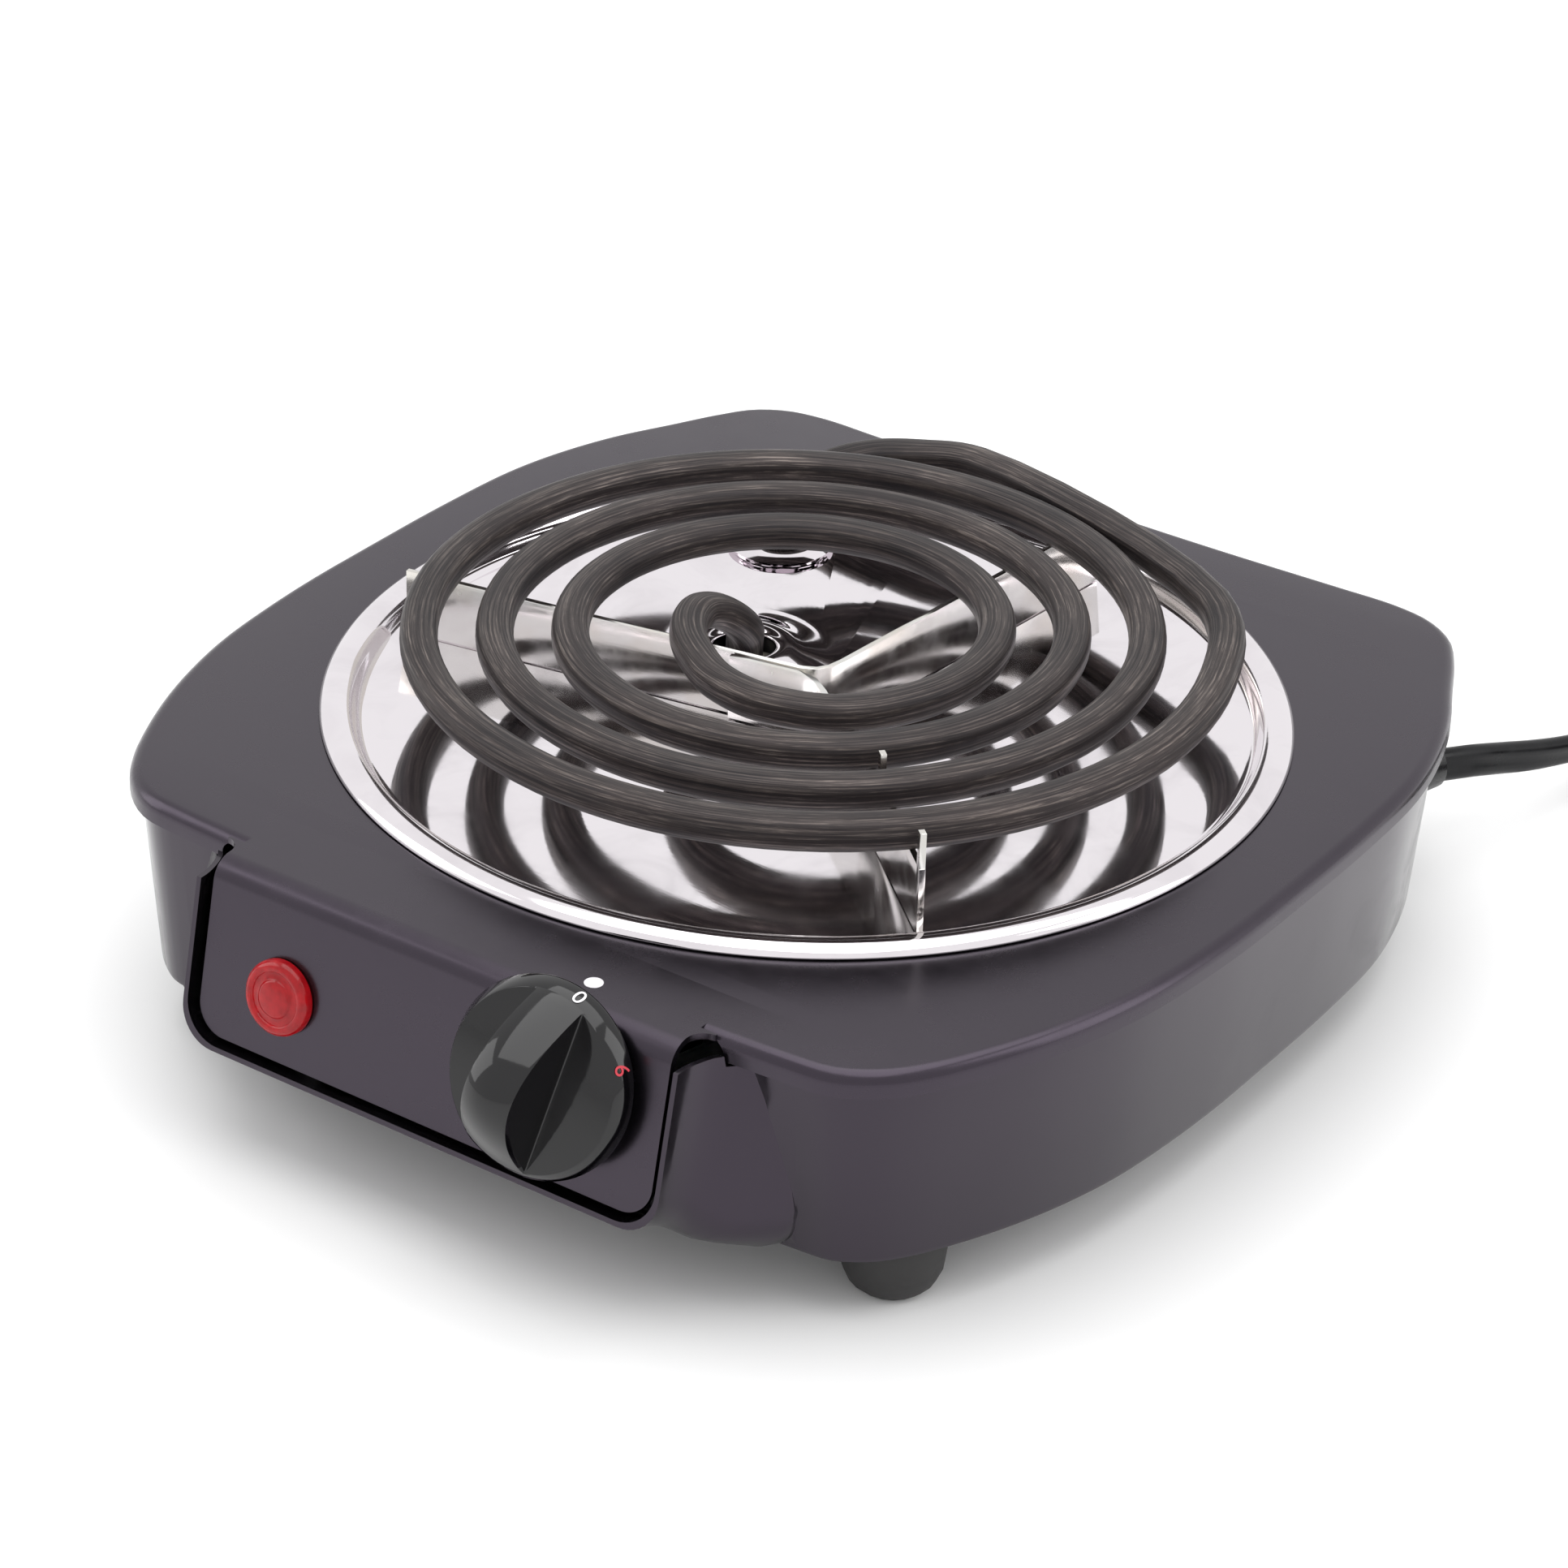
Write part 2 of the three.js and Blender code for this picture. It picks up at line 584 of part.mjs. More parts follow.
function heatShield() {
  const under = SHIELD_TOP - SHIELD_SHEET;
  const tray = turned([
    [0, under], [81.6, under], [82.6, SHIELD_TOP + 3], [81.8, SHIELD_TOP + 3], [80.8, SHIELD_TOP],
    [0, SHIELD_TOP],
  ], 40);
  const hole = ([x, y]) => moved(drum(7, -20, 0, 20), x, y, 0);
  return cut(tray, hole(HOLE_INNER), hole(HOLE_OUTER));
}

// Flanged ceramic sleeve that sits in the shield and guides an end of the element.
function elementBush([x, y]) {
  const bore = TUBE_RADIUS + GAP;
  const flange = SHIELD_TOP + GAP;
  return moved(turned([
    [bore, -16], [6.6, -16], [6.6, flange], [9.2, flange], [9.2, SHIELD_TOP + 2.6],
    [bore, SHIELD_TOP + 2.6],
  ], 24), x, y, 0);
}

function elementTab([x, y]) {
  const pin = drum(1.6, -30, -22 - GAP, 12);
  const blade = box(-3.2, 3.2, -0.6, 0.6, -34, -26);
  return toGeometry(join(pin, blade)).translate(x, y, 0);
}

// Bridge from the bottom plate, front to back, that carries the shield.
function shieldStrap(side) {
  const halfWidth = 6;
  const sheet = 1.2;
  const top = SHIELD_TOP - SHIELD_SHEET - GAP;
  const bottom = -BASE_DEPTH + BASE_SHEET + PLATE_SHEET + 2 * GAP;
  const [x0, x1] = [side * 58 - halfWidth, side * 58 + halfWidth];
  const bar = box(x0, x1, -72, 72, top - sheet, top);
  const leg = (y) => box(x0, x1, y - sheet / 2, y + sheet / 2, bottom, top - sheet / 2);
  const foot = (y) => box(x0, x1, y - 5, y + 5, bottom, bottom + sheet);
  return join(bar, leg(-70), leg(70), foot(-67), foot(67));
}

function thermostatBody() {
  const block = box(-14, 14, -12, 12, -25, -8);
  const notch = (x) => box(x - 2, x + 2, -13, -8, -26, -7);
  const boss = drum(5.2, -9, -8.01, 16);
  const blade = (x) => box(x - 3, x + 3, -14.5, -11, -22, -21.2);
  const body = join(cut(block, notch(-13), notch(13)), boss, blade(-7), blade(7));
  return placed(toGeometry(body), KNOB_FRAME_STRAIGHT);
}

function thermostatBracket() {
  const plate = box(-19.7, 19.7, -11, 8.6, -3, -COVER_SHEET - GAP);
  const arms = [box(18.5, 19.7, -8, 8, -24, -2.4), box(-19.7, -18.5, -8, 8, -24, -2.4)];
  const hole = drum(7.5, -8, 3, 24);
  const frame = PANEL_FRAME.clone().multiply(new THREE.Matrix4().makeTranslation(KNOB_X, -KNOB_DOWN, 0));
  return placed(toGeometry(cut(join(plate, ...arms), hole)), frame);
}

// Shaft with a flat, which the knob is pushed onto.
function thermostatShaft() {
  const flat = box(-4, 4, 2, 4, 4, 15);
  return placed(toGeometry(cut(drum(3, -8 + GAP, 13.6, 20), flat)), KNOB_FRAME);
}

// ---------------------------------------------------------------- knob
const KNOB_RADIUS = 17.8;
const KNOB_FACE_RADIUS = 16.3;
const KNOB_FACE = 7.2;            // height of the knob's face above the panel
const KNOB_CROWN = 15;            // height of the grip above the face
const GRIP_HALF_WIDTH = 4.7;

// Flat disc with a sloping edge, and across it a straight grip whose back is a dome.
function controlKnob() {
  const skirt = turned([
    [0, 3], [KNOB_RADIUS, 3], [KNOB_RADIUS, 4], [KNOB_FACE_RADIUS, KNOB_FACE], [0, KNOB_FACE],
  ], 40);
  const crown = [[0, 5]];
  const steps = 8;
  for (let i = 0; i <= steps; i++) {
    const share = 1 - i / steps;
    crown.push([KNOB_FACE_RADIUS * share, KNOB_FACE - 0.2 + KNOB_CROWN * (1 - share ** 2)]);
  }
  const dome = turned(crown, 40);
  const flank = [
    [GRIP_HALF_WIDTH, 24], [GRIP_HALF_WIDTH, KNOB_FACE + 0.8], [GRIP_HALF_WIDTH + 0.3, KNOB_FACE + 0.2],
    [GRIP_HALF_WIDTH + 0.9, KNOB_FACE - 0.2], [17.5, KNOB_FACE - 0.3], [17.5, 4],
  ];
  const section = [...flank, ...flank.slice().reverse().map(([w, h]) => [-w, h])];
  const ring = (y) => section.map(([w, h]) => vec(w, y, h));
  const bar = loft([ring(-20), ring(20)], (p) => new THREE.Vector2(p.x, p.z));
  const grip = toManifold(dome).intersect(toManifold(bar));
  const hollow = ringOf(7, 15.4, 1, 5.2, 24);
  const bores = [drum(4.4, 1, 9.6, 20), drum(3.3, 9, 14.2, 20)];
  return placed(toGeometry(cut(join(skirt, grip), hollow, ...bores)), KNOB_FRAME);
}

function springClip() {
  const slit = box(-1.2, 1.2, -6, 0, 3, 10);
  return placed(toGeometry(cut(ringOf(3.3, 4.1, 4.4, 9, 20), slit)), KNOB_FRAME);
}

// ---------------------------------------------------------------- indicator lamp
const indicatorLens = () => placed(turned([
  [0, -6], [5.4, -6], [5.4, GAP], [7, GAP], [7, 1.5], [6.2, 2.5], [5.2, 2.5], [4.9, 2.1], [3.6, 2.1],
  [3.3, 2.6], [0, 2.7],
], 28), LAMP_FRAME);

const indicatorBody = () => placed(turned([
  [0, -24], [3.6, -24], [5, -22], [5, -6 - GAP], [0, -6 - GAP],
], 20), LAMP_FRAME);

const indicatorRetainer = () => placed(ringOf(5.7, 7.8, -3, -COVER_SHEET - GAP, 20), LAMP_FRAME);

// ---------------------------------------------------------------- wiring inside
const WIRE_RADIUS = 1.3;
const wire = (points) => tube(smooth(points), WIRE_RADIUS, 6, 14);

const terminalBlock = () => cut(box(22, 50, 60, 76, -36.6, -26), box(21, 51, 67.4, 68.6, -30, -25));

const terminalScrew = (x, y) => moved(drum(2.4, -26 + GAP, -24.3, 12), x, y, 0);

// ---------------------------------------------------------------- supply cord
const CORD_RADIUS = CORD_DIAMETER / 2;
const TABLE = -COVER_HEIGHT;
const RELIEF_LENGTH = 11;
const COIL_OF_CORD = { x: 142, y: 184, middle: 32, turns: 4 };

function cordRelief() {
  const bore = CORD_RADIUS + GAP;
  const sleeve = turned([
    [bore, -5], [4.9, -5], [4.9, 1.6], [6.8, 1.6], [6.8, 3.2], [5.6, 4.2], [4.2, RELIEF_LENGTH],
    [bore, RELIEF_LENGTH],
  ], 20);
  return placed(sleeve, CORD_FRAME);
}

// Straight through the relief, then down to the table and away to the coil.
function cordRoute() {
  const along = (d) => vec(0, 0, d).applyMatrix4(CORD_FRAME).toArray();
  return [
    along(-12), along(0), along(10), along(21), [85.7, 134, -41.6], [89.3, 146.1, -44],
    [92.6, 160, -46.8], [96.6, 171.5, -49.2],
  ];
}

const powerCord = () => tube(smooth(cordRoute()), CORD_RADIUS, 10, 20);

function cordCoil() {
  const { x, y, middle, turns } = COIL_OF_CORD;
  const half = turns * CORD_DIAMETER / 2;
  return moved(ringOf(middle - half, middle + half, TABLE + 0.2, TABLE + CORD_DIAMETER, 24), x, y, 0);
}

// The plug lies on the coil, along the last turn's tangent.
const PLUG_FRAME = new THREE.Matrix4().makeRotationZ(rad(-20))
  .setPosition(COIL_OF_CORD.x + 25.2, COIL_OF_CORD.y + 19.6, TABLE + CORD_DIAMETER + GAP);

const PLUG_FACE = 15;

function plugBody() {
  const outline = [
    [-17, -4], [-6, -6.5], [6, -12], [PLUG_FACE, -12.5], [PLUG_FACE, 12.5], [6, 12], [-6, 6.5], [-17, 4],
  ];
  return placed(prism(outline, 0.2, 14), PLUG_FRAME);
}

function plugPin(y) {
  const root = PLUG_FACE + GAP;
  return placed(box(root, root + 17, y - 0.8, y + 0.8, 4, 10.3), PLUG_FRAME);
}

// ---------------------------------------------------------------- assembly
const BLACK_SATIN = { color: 0x1b1b1d, roughness: 0.45, metalness: 0.1 };
const BLACK_GLOSS = { color: 0x0d0d0e, roughness: 0.15, metalness: 0.1 };
const STEEL = { color: 0xb9bcc0, roughness: 0.3, metalness: 1 };
const MIRROR_STEEL = { color: 0xd4d6d8, roughness: 0.08, metalness: 1 };
const ELEMENT = { color: 0x4a443e, roughness: 0.6, metalness: 0.6 };
const RUBBER = { color: 0x1a1a1a, roughness: 0.85, metalness: 0 };
const CERAMIC = { color: 0xe6e2d6, roughness: 0.5, metalness: 0 };
const BAKELITE = { color: 0x121212, roughness: 0.2, metalness: 0 };
const BRASS = { color: 0xb08d3c, roughness: 0.35, metalness: 1 };
const RED_LENS = { color: 0xc81414, roughness: 0.1, metalness: 0 };
const ZINC = { color: 0xa3a7a9, roughness: 0.4, metalness: 1 };
const WIRE_WHITE = { color: 0xded9cd, roughness: 0.7, metalness: 0 };
const WIRE_BLACK = { color: 0x202020, roughness: 0.6, metalness: 0 };
const CORD_BLACK = { color: 0x161616, roughness: 0.5, metalness: 0 };

const burner = new THREE.Group();
burner.name = 'hot_plate_burner';
burner.position.set(0, PLAN_SHIFT, COVER_HEIGHT);

function add(name, solid, look) {
  const geometry = solid.isBufferGeometry ? solid : toGeometry(solid);
  geometry.computeVertexNormals();
  const mesh = new THREE.Mesh(geometry, new THREE.MeshStandardMaterial(look));
  mesh.name = name;
  burner.add(mesh);
}

add('top_cover', topCover(), BLACK_SATIN);
add('base_shell', baseShell(), BLACK_GLOSS);
add('bottom_plate', bottomPlate(), ZINC);
for (const [place, [x, y]] of Object.entries(FEET)) {
  add(`foot_${place}`, foot(x, y), RUBBER);
  add(`foot_screw_${place}`, footScrew(x, y), ZINC);
}
add('drip_pan', dripPan(), MIRROR_STEEL);
add('heating_coil', heatingCoil(), ELEMENT);
add('coil_support_rear', coilSupportRear(), STEEL);
add('coil_support_front', coilSupportFront(), STEEL);
add('heat_shield', heatShield(), ZINC);
add('element_bush_inner', elementBush(HOLE_INNER), CERAMIC);
add('element_bush_outer', elementBush(HOLE_OUTER), CERAMIC);
add('element_tab_inner', elementTab(HOLE_INNER), STEEL);
add('element_tab_outer', elementTab(HOLE_OUTER), STEEL);
add('strap_left', shieldStrap(-1), ZINC);
add('strap_right', shieldStrap(1), ZINC);
add('thermostat_body', thermostatBody(), BAKELITE);
add('thermostat_bracket', thermostatBracket(), ZINC);
add('thermostat_shaft', thermostatShaft(), BRASS);
add('control_knob', controlKnob(), BAKELITE);
add('knob_spring_clip', springClip(), STEEL);
add('indicator_lens', indicatorLens(), RED_LENS);
add('indicator_body', indicatorBody(), WIRE_WHITE);
add('indicator_retainer', indicatorRetainer(), STEEL);
add('terminal_block', terminalBlock(), CERAMIC);
add('terminal_screw_live', terminalScrew(36, 64), BRASS);
add('terminal_screw_neutral', terminalScrew(36, 72), BRASS);
add('wire_live', wire([
  [27, 57.5, -31], [24, 40, -31], [30, -20, -34], [34, -60, -34], [31, -78, -33],
]), WIRE_BLACK);
add('wire_load', wire([
  [16, -76, -33], [6, -60, -35], [-16, -20, -36], [-23.4, 7, -37.4], [-23.4, 12.2, -35.4],
]), WIRE_WHITE);
add('wire_neutral', wire([
  [19.5, 72, -31], [0, 76, -33], [-30, 68, -37.5], [-43.6, 59, -37.4], [-43.6, 54, -35.4],
]), WIRE_WHITE);
add('wire_lamp_a', wire([
  [-31, -89, -24], [-30, -76, -28], [-20, -60, -30], [0, -68, -29], [12, -76, -29],
]), WIRE_WHITE);
add('wire_lamp_b', wire([
  [-36, -89, -24], [-40, -70, -30], [-42, -10, -32], [-32, 34, -32], [-8, 60, -32], [19.5, 64, -31],
]), WIRE_WHITE);
add('cord_strain_relief', cordRelief(), RUBBER);
add('power_cord', powerCord(), CORD_BLACK);
add('cord_coil', cordCoil(), CORD_BLACK);
add('plug_body', plugBody(), RUBBER);
add('plug_pin_left', plugPin(-6.35), BRASS);
add('plug_pin_right', plugPin(6.35), BRASS);

export default burner;
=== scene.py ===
"""Looks of a spiral-coil hot plate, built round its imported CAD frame. Lengths here are in millimetres
from the middle of the drip pan, with z = 0 on the cover's top face, and at() turns them into metres."""
import json
import math

import bmesh
import bpy
from mathutils import Matrix, Vector
from mathutils.geometry import tessellate_polygon


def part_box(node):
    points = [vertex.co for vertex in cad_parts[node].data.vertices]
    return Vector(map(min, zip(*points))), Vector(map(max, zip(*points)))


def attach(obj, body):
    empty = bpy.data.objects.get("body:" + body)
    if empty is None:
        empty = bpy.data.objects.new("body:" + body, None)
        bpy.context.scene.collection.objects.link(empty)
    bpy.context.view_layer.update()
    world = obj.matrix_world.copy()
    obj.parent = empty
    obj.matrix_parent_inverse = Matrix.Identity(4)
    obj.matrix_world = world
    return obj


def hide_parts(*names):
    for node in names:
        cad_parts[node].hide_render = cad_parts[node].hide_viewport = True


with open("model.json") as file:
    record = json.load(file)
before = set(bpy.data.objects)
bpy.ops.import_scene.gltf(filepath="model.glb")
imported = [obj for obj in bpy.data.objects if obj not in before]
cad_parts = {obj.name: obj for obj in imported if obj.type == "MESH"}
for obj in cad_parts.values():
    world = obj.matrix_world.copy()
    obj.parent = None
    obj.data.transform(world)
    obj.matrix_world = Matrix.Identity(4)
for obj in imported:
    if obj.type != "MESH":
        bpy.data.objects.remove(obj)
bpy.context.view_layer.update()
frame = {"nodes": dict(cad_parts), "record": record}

# ------------------------------------------------------------------ dimensions
MM = 0.001
PAN_LOW, PAN_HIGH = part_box("drip_pan")
COVER_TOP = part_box("top_cover")[1].z
ORIGIN = Vector(((PAN_LOW.x + PAN_HIGH.x) / 2, (PAN_LOW.y + PAN_HIGH.y) / 2, COVER_TOP))
TABLE = -ORIGIN.z / MM

COVER_SHEET = 1.2
COVER_SKIRT = 4.6
COVER_ROLL = 2.5
EAR_END = 54.8
EAR_ROUND = 2.4
CORNER_FILLET = 3.4
EAR_FRONT = -103.4
BASE_SHEET = 1.0
BASE_TOP = -3.0
BASE_DEPTH = 41.5
BASE_TOP_INSET = 1.7
BASE_DRAFT = 2.9
FLOOR_OPENING = 0.78

PAN_RIM_RADIUS = 91
PAN_HOLE_RADIUS = 86.6
PAN_FLOOR = -2.0
PAN_SHEET = 0.8
HOLE_INNER = (-23.4, 12.6)
HOLE_OUTER = (-43.6, 53.6)

TUBE_RADIUS = 3.55
COIL_Z = 15.2
COIL_CENTRE = (-1.8, 0.5)
COIL_START_RADIUS = 81.6
COIL_PITCH = 14.0
COIL_BACK_ANGLE = 124.1

PANEL_TILT = 11.86
PANEL_CORNER_Y = -110.64
PANEL_HALF_WIDTH = 49.8
PANEL_LENGTH = 32.3
PANEL_CORNER_RADIUS = 6
BEND_RADIUS = 4.5
LIP_HALF_WIDTH = 52.4
LIP_LENGTH = 34.6
LIP_PROUD = 1.5

KNOB_X = 26.8
KNOB_DOWN = 13.2
KNOB_TILT = 18
KNOB_YAW = 4
KNOB_TURN = 10
KNOB_RADIUS = 17.8
KNOB_FACE_RADIUS = 16.3
KNOB_FACE = 7.2
KNOB_CROWN = 15
GRIP_HALF_WIDTH = 4.7
LAMP_X = -31.8
LAMP_DOWN = 19.8

CORD_DIAMETER = 5.6
CORD_LOBE = 1.75
CORD_WIRES_APART = 3.3
CORD_WIDTH = CORD_WIRES_APART + 2 * CORD_LOBE
CORD_TURN_AT_EXIT = 120
CORD_TURN_IN_COIL = 75
CORD_TURN_SHARE = 0.08
CORD_EXIT = (73, 99.6, -34)
CORD_HEADING = 67
CORD_DROOP = 9
CORD_COIL_CENTRE = (142, 184)
CORD_COIL_RADIUS = 40.0
CORD_COIL_TURNS = 3.7

COVER_OUTLINE = [
    (0, 104.3), (30, 104.4), (55, 105.1), (68, 105.3), (76.5, 103.6), (83, 99.3), (87.3, 92.8),
    (92.4, 82.6), (98.1, 71), (102.4, 58.6), (105.3, 45), (106.6, 25), (106.8, 0), (106.4, -22),
    (104.2, -45), (101.2, -58.5), (97.2, -70.6), (91.9, -82.5), (87.6, -90.2), (82.6, -96.4),
    (75, -101.3), (66, -102.5), (58, -103), (50, -103.4), (30, -103.4), (0, -103.4),
]
OUTLINE_POINTS = 288


def at(x, y, z):
    return ORIGIN + Vector((x, y, z)) * MM


# ------------------------------------------------------------------ camera
CAMERA_AZIMUTH = 34.08
CAMERA_ELEVATION = 29.83
CAMERA_ROLL = 1.84
CAMERA_DISTANCE = 889.7
CAMERA_TARGET = (13.9, -27.4, 0)
CAMERA_LENS = 112.4


def make_camera():
    data = bpy.data.cameras.new("camera")
    data.lens = CAMERA_LENS
    data.sensor_width = 36
    data.clip_start = 0.01
    data.clip_end = 50
    camera = bpy.data.objects.new("camera", data)
    bpy.context.scene.collection.objects.link(camera)
    azimuth = math.radians(CAMERA_AZIMUTH)
    elevation = math.radians(CAMERA_ELEVATION)
    roll = math.radians(CAMERA_ROLL)
    ahead = Vector((
        -math.sin(azimuth) * math.cos(elevation),
        math.cos(azimuth) * math.cos(elevation),
        -math.sin(elevation),
    ))
    level = Vector((math.cos(azimuth), math.sin(azimuth), 0))
    above = level.cross(ahead)
    right = math.cos(roll) * level + math.sin(roll) * above
    up = -math.sin(roll) * level + math.cos(roll) * above
    place = at(*CAMERA_TARGET) - ahead * CAMERA_DISTANCE * MM
    camera.matrix_world = Matrix.Translation(place) @ Matrix((right, up, -ahead)).transposed().to_4x4()
    bpy.context.scene.camera = camera


make_camera()


# ------------------------------------------------------------------ mesh helpers
def new_object(name, vertices, faces, smooth=True):
    mesh = bpy.data.meshes.new(name)
    mesh.from_pydata(vertices, [], faces)
    mesh.update()
    work = bmesh.new()
    work.from_mesh(mesh)
    bmesh.ops.remove_doubles(work, verts=work.verts, dist=1e-7)
    bmesh.ops.recalc_face_normals(work, faces=work.faces)
    work.to_mesh(mesh)
    work.free()
    for polygon in mesh.polygons:
        polygon.use_smooth = smooth
    piece = bpy.data.objects.new(name, mesh)
    bpy.context.scene.collection.objects.link(piece)
    return piece


def bake(piece):
    """Applies a piece's modifiers."""
    graph = bpy.context.evaluated_depsgraph_get()
    mesh = bpy.data.meshes.new_from_object(piece.evaluated_get(graph))
    old = piece.data
    piece.modifiers.clear()
    piece.data = mesh
    bpy.data.meshes.remove(old)
    return piece


def combine(piece, tools, operation):
    for tool in tools:
        step = piece.modifiers.new("boolean", "BOOLEAN")
        step.operation = operation
        step.solver = "EXACT"
        step.object = tool
        bake(piece)
        bpy.data.objects.remove(tool)
    return piece


def cut(piece, *tools):
    return combine(piece, tools, "DIFFERENCE")


def join(piece, *tools):
    return combine(piece, tools, "UNION")


def soften(piece, width, angle=35, segments=3):
    """Rounds the sharp edges of a piece and shades the rest smooth."""
    weld = piece.modifiers.new("weld", "WELD")
    weld.merge_threshold = 2e-6
    if width:
        bevel = piece.modifiers.new("bevel", "BEVEL")
        bevel.width = width * MM
        bevel.segments = segments
        bevel.limit_method = "ANGLE"
        bevel.angle_limit = math.radians(angle)
        bevel.use_clamp_overlap = True
        bevel.harden_normals = False
    for polygon in piece.data.polygons:
        polygon.use_smooth = True
    split = piece.modifiers.new("split", "EDGE_SPLIT")
    split.split_angle = math.radians(angle + 5)
    return piece


def loft(name, rings, flatten):
    """A closed solid through rings of equal point count, with flat ends."""
    count = len(rings[0])
    vertices = [p for ring in rings for p in ring]
    faces = []
    for k in range(len(rings) - 1):
        for j in range(count):
            a = k * count + j
            b = k * count + (j + 1) % count
            faces.append((a, b, b + count, a + count))
    for k in (0, len(rings) - 1):
        flat = [Vector((*flatten(p), 0)) for p in rings[k]]
        faces += [tuple(k * count + i for i in triangle) for triangle in tessellate_polygon([flat])]
    return new_object(name, vertices, faces)


def plan(p):
    return p.x, p.y


def prism(name, points, low, high):
    return loft(name, [[at(x, y, z) for x, y in points] for z in (low, high)], plan)


def box(name, x0, x1, y0, y1, z0, z1):
    return prism(name, [(x0, y0), (x1, y0), (x1, y1), (x0, y1)], z0, z1)


def turned(name, profile, segments=96, place=None):
    """A solid of revolution about z from (radius, z) points in millimetres; it closes on itself."""
    place = place or Matrix.Translation(ORIGIN)
    vertices = []
    for i in range(segments):
        angle = 2 * math.pi * i / segments
        for radius, z in profile:
            local = Vector((radius * math.cos(angle), radius * math.sin(angle), z)) * MM
            vertices.append(place @ local)
    count = len(profile)
    closes = profile[0][0] > 0
    faces = []
    for i in range(segments):
        for j in range(count if closes else count - 1):
            a = i * count + j
            b = i * count + (j + 1) % count
            c = ((i + 1) % segments) * count + (j + 1) % count
            d = ((i + 1) % segments) * count + j
            faces.append((a, b, c, d))
    return new_object(name, vertices, [face for face in faces if len(set(face)) > 2])


def drum(name, radius, low, high, place=None, segments=64):
    return turned(name, [(0, low), (radius, low), (radius, high), (0, high)], segments, place)


def shifted(x, y, z=0):
    return Matrix.Translation(at(x, y, z))


def catmull(points, per_span):
    """A centripetal Catmull-Rom line through the points."""
    line = []
    ends = [points[0] * 2 - points[1], *points, points[-1] * 2 - points[-2]]
    for i in range(len(points) - 1):
        p0, p1, p2, p3 = ends[i:i + 4]
        t1 = (p1 - p0).length ** 0.5
        t2 = t1 + (p2 - p1).length ** 0.5
        t3 = t2 + (p3 - p2).length ** 0.5
        for k in range(per_span):
            t = t1 + (t2 - t1) * k / per_span
            a1 = p0 * ((t1 - t) / t1) + p1 * (t / t1)
            a2 = p1 * ((t2 - t) / (t2 - t1)) + p2 * ((t - t1) / (t2 - t1))
            a3 = p2 * ((t3 - t) / (t3 - t2)) + p3 * ((t - t2) / (t3 - t2))
            b1 = a1 * ((t2 - t) / t2) + a2 * (t / t2)
            b2 = a2 * ((t3 - t) / (t3 - t1)) + a3 * ((t - t1) / (t3 - t1))
            line.append(b1 * ((t2 - t) / (t2 - t1)) + b2 * ((t - t1) / (t2 - t1)))
    line.append(points[-1].copy())
    return line


def even(line, count):
    """The line again with count points evenly spaced, the last one left out when it closes."""
    lengths = [0.0]
    for a, b in zip(line, line[1:]):
        lengths.append(lengths[-1] + (b - a).length)
    result = []
    j = 0
    for i in range(count):
        target = lengths[-1] * i / count
        while lengths[j + 1] < target:
            j += 1
        share = (target - lengths[j]) / (lengths[j + 1] - lengths[j])
        result.append(line[j].lerp(line[j + 1], share))
    return result


def sweep(name, line, section, across=Vector((1, 0, 0)), twist=None, levelling=0.0):
    """Runs a section [(across, up), ...] in metres along a line of points, without twisting it, or
    turning it level bit by bit where the line runs level."""
    rings = []
    for i, p in enumerate(line):
        along = (line[min(i + 1, len(line) - 1)] - line[max(i - 1, 0)]).normalized()
        level = along.cross(Vector((0, 0, 1)))
        across = across + level * levelling
        across = (across - along * across.dot(along)).normalized()
        up = across.cross(along)
        angle = twist(i / (len(line) - 1)) if twist else 0
        c, s = math.cos(angle), math.sin(angle)
        rings.append([p + (across * (u * c - v * s) + up * (u * s + v * c)) for u, v in section])
    count = len(section)
    vertices = [p for ring in rings for p in ring]
    faces = []
    for k in range(len(rings) - 1):
        for j in range(count):
            a = k * count + j
            b = k * count + (j + 1) % count
            faces.append((a, b, b + count, a + count))
    faces.append(tuple(range(count)))
    faces.append(tuple(range(len(vertices) - 1, len(vertices) - count - 1, -1)))
    return new_object(name, vertices, faces)


def flattened_circle(radius, count, flat):
    """A circle whose top is pressed down to about flat times its radius."""
    points = []
    for i in range(count):
        angle = 2 * math.pi * i / count
        height = math.sin(angle)
        if height > 0:
            height = flat * math.tanh(height / flat * 1.25) / math.tanh(1.25 / flat)
        points.append((radius * math.cos(angle), radius * height))
    return points


# ------------------------------------------------------------------ local frames
def frame_of(across, up, out, place):
    return Matrix.Translation(place) @ Matrix((across, up, out)).transposed().to_4x4()


TILT = math.radians(PANEL_TILT)
PANEL = frame_of(
    Vector((1, 0, 0)),
    Vector((0, math.sin(TILT), math.cos(TILT))),
    Vector((0, -math.cos(TILT), math.sin(TILT))),
    at(0, PANEL_CORNER_Y, 0),
)


def on_panel(x, down, out):
    return PANEL @ (Vector((x, -down, out)) * MM)


KNOB_OUT = Vector((
    math.sin(math.radians(KNOB_YAW)) * math.cos(math.radians(KNOB_TILT)),
    -math.cos(math.radians(KNOB_YAW)) * math.cos(math.radians(KNOB_TILT)),
    math.sin(math.radians(KNOB_TILT)),
))
KNOB_ACROSS = Vector((math.cos(math.radians(KNOB_YAW)), math.sin(math.radians(KNOB_YAW)), 0))
KNOB_STRAIGHT = frame_of(KNOB_ACROSS, KNOB_OUT.cross(KNOB_ACROSS), KNOB_OUT, on_panel(KNOB_X, KNOB_DOWN, 0))
KNOB = KNOB_STRAIGHT @ Matrix.Rotation(math.radians(-KNOB_TURN), 4, "Z")
LAMP = PANEL @ Matrix.Translation(Vector((LAMP_X, -LAMP_DOWN, 0)) * MM)
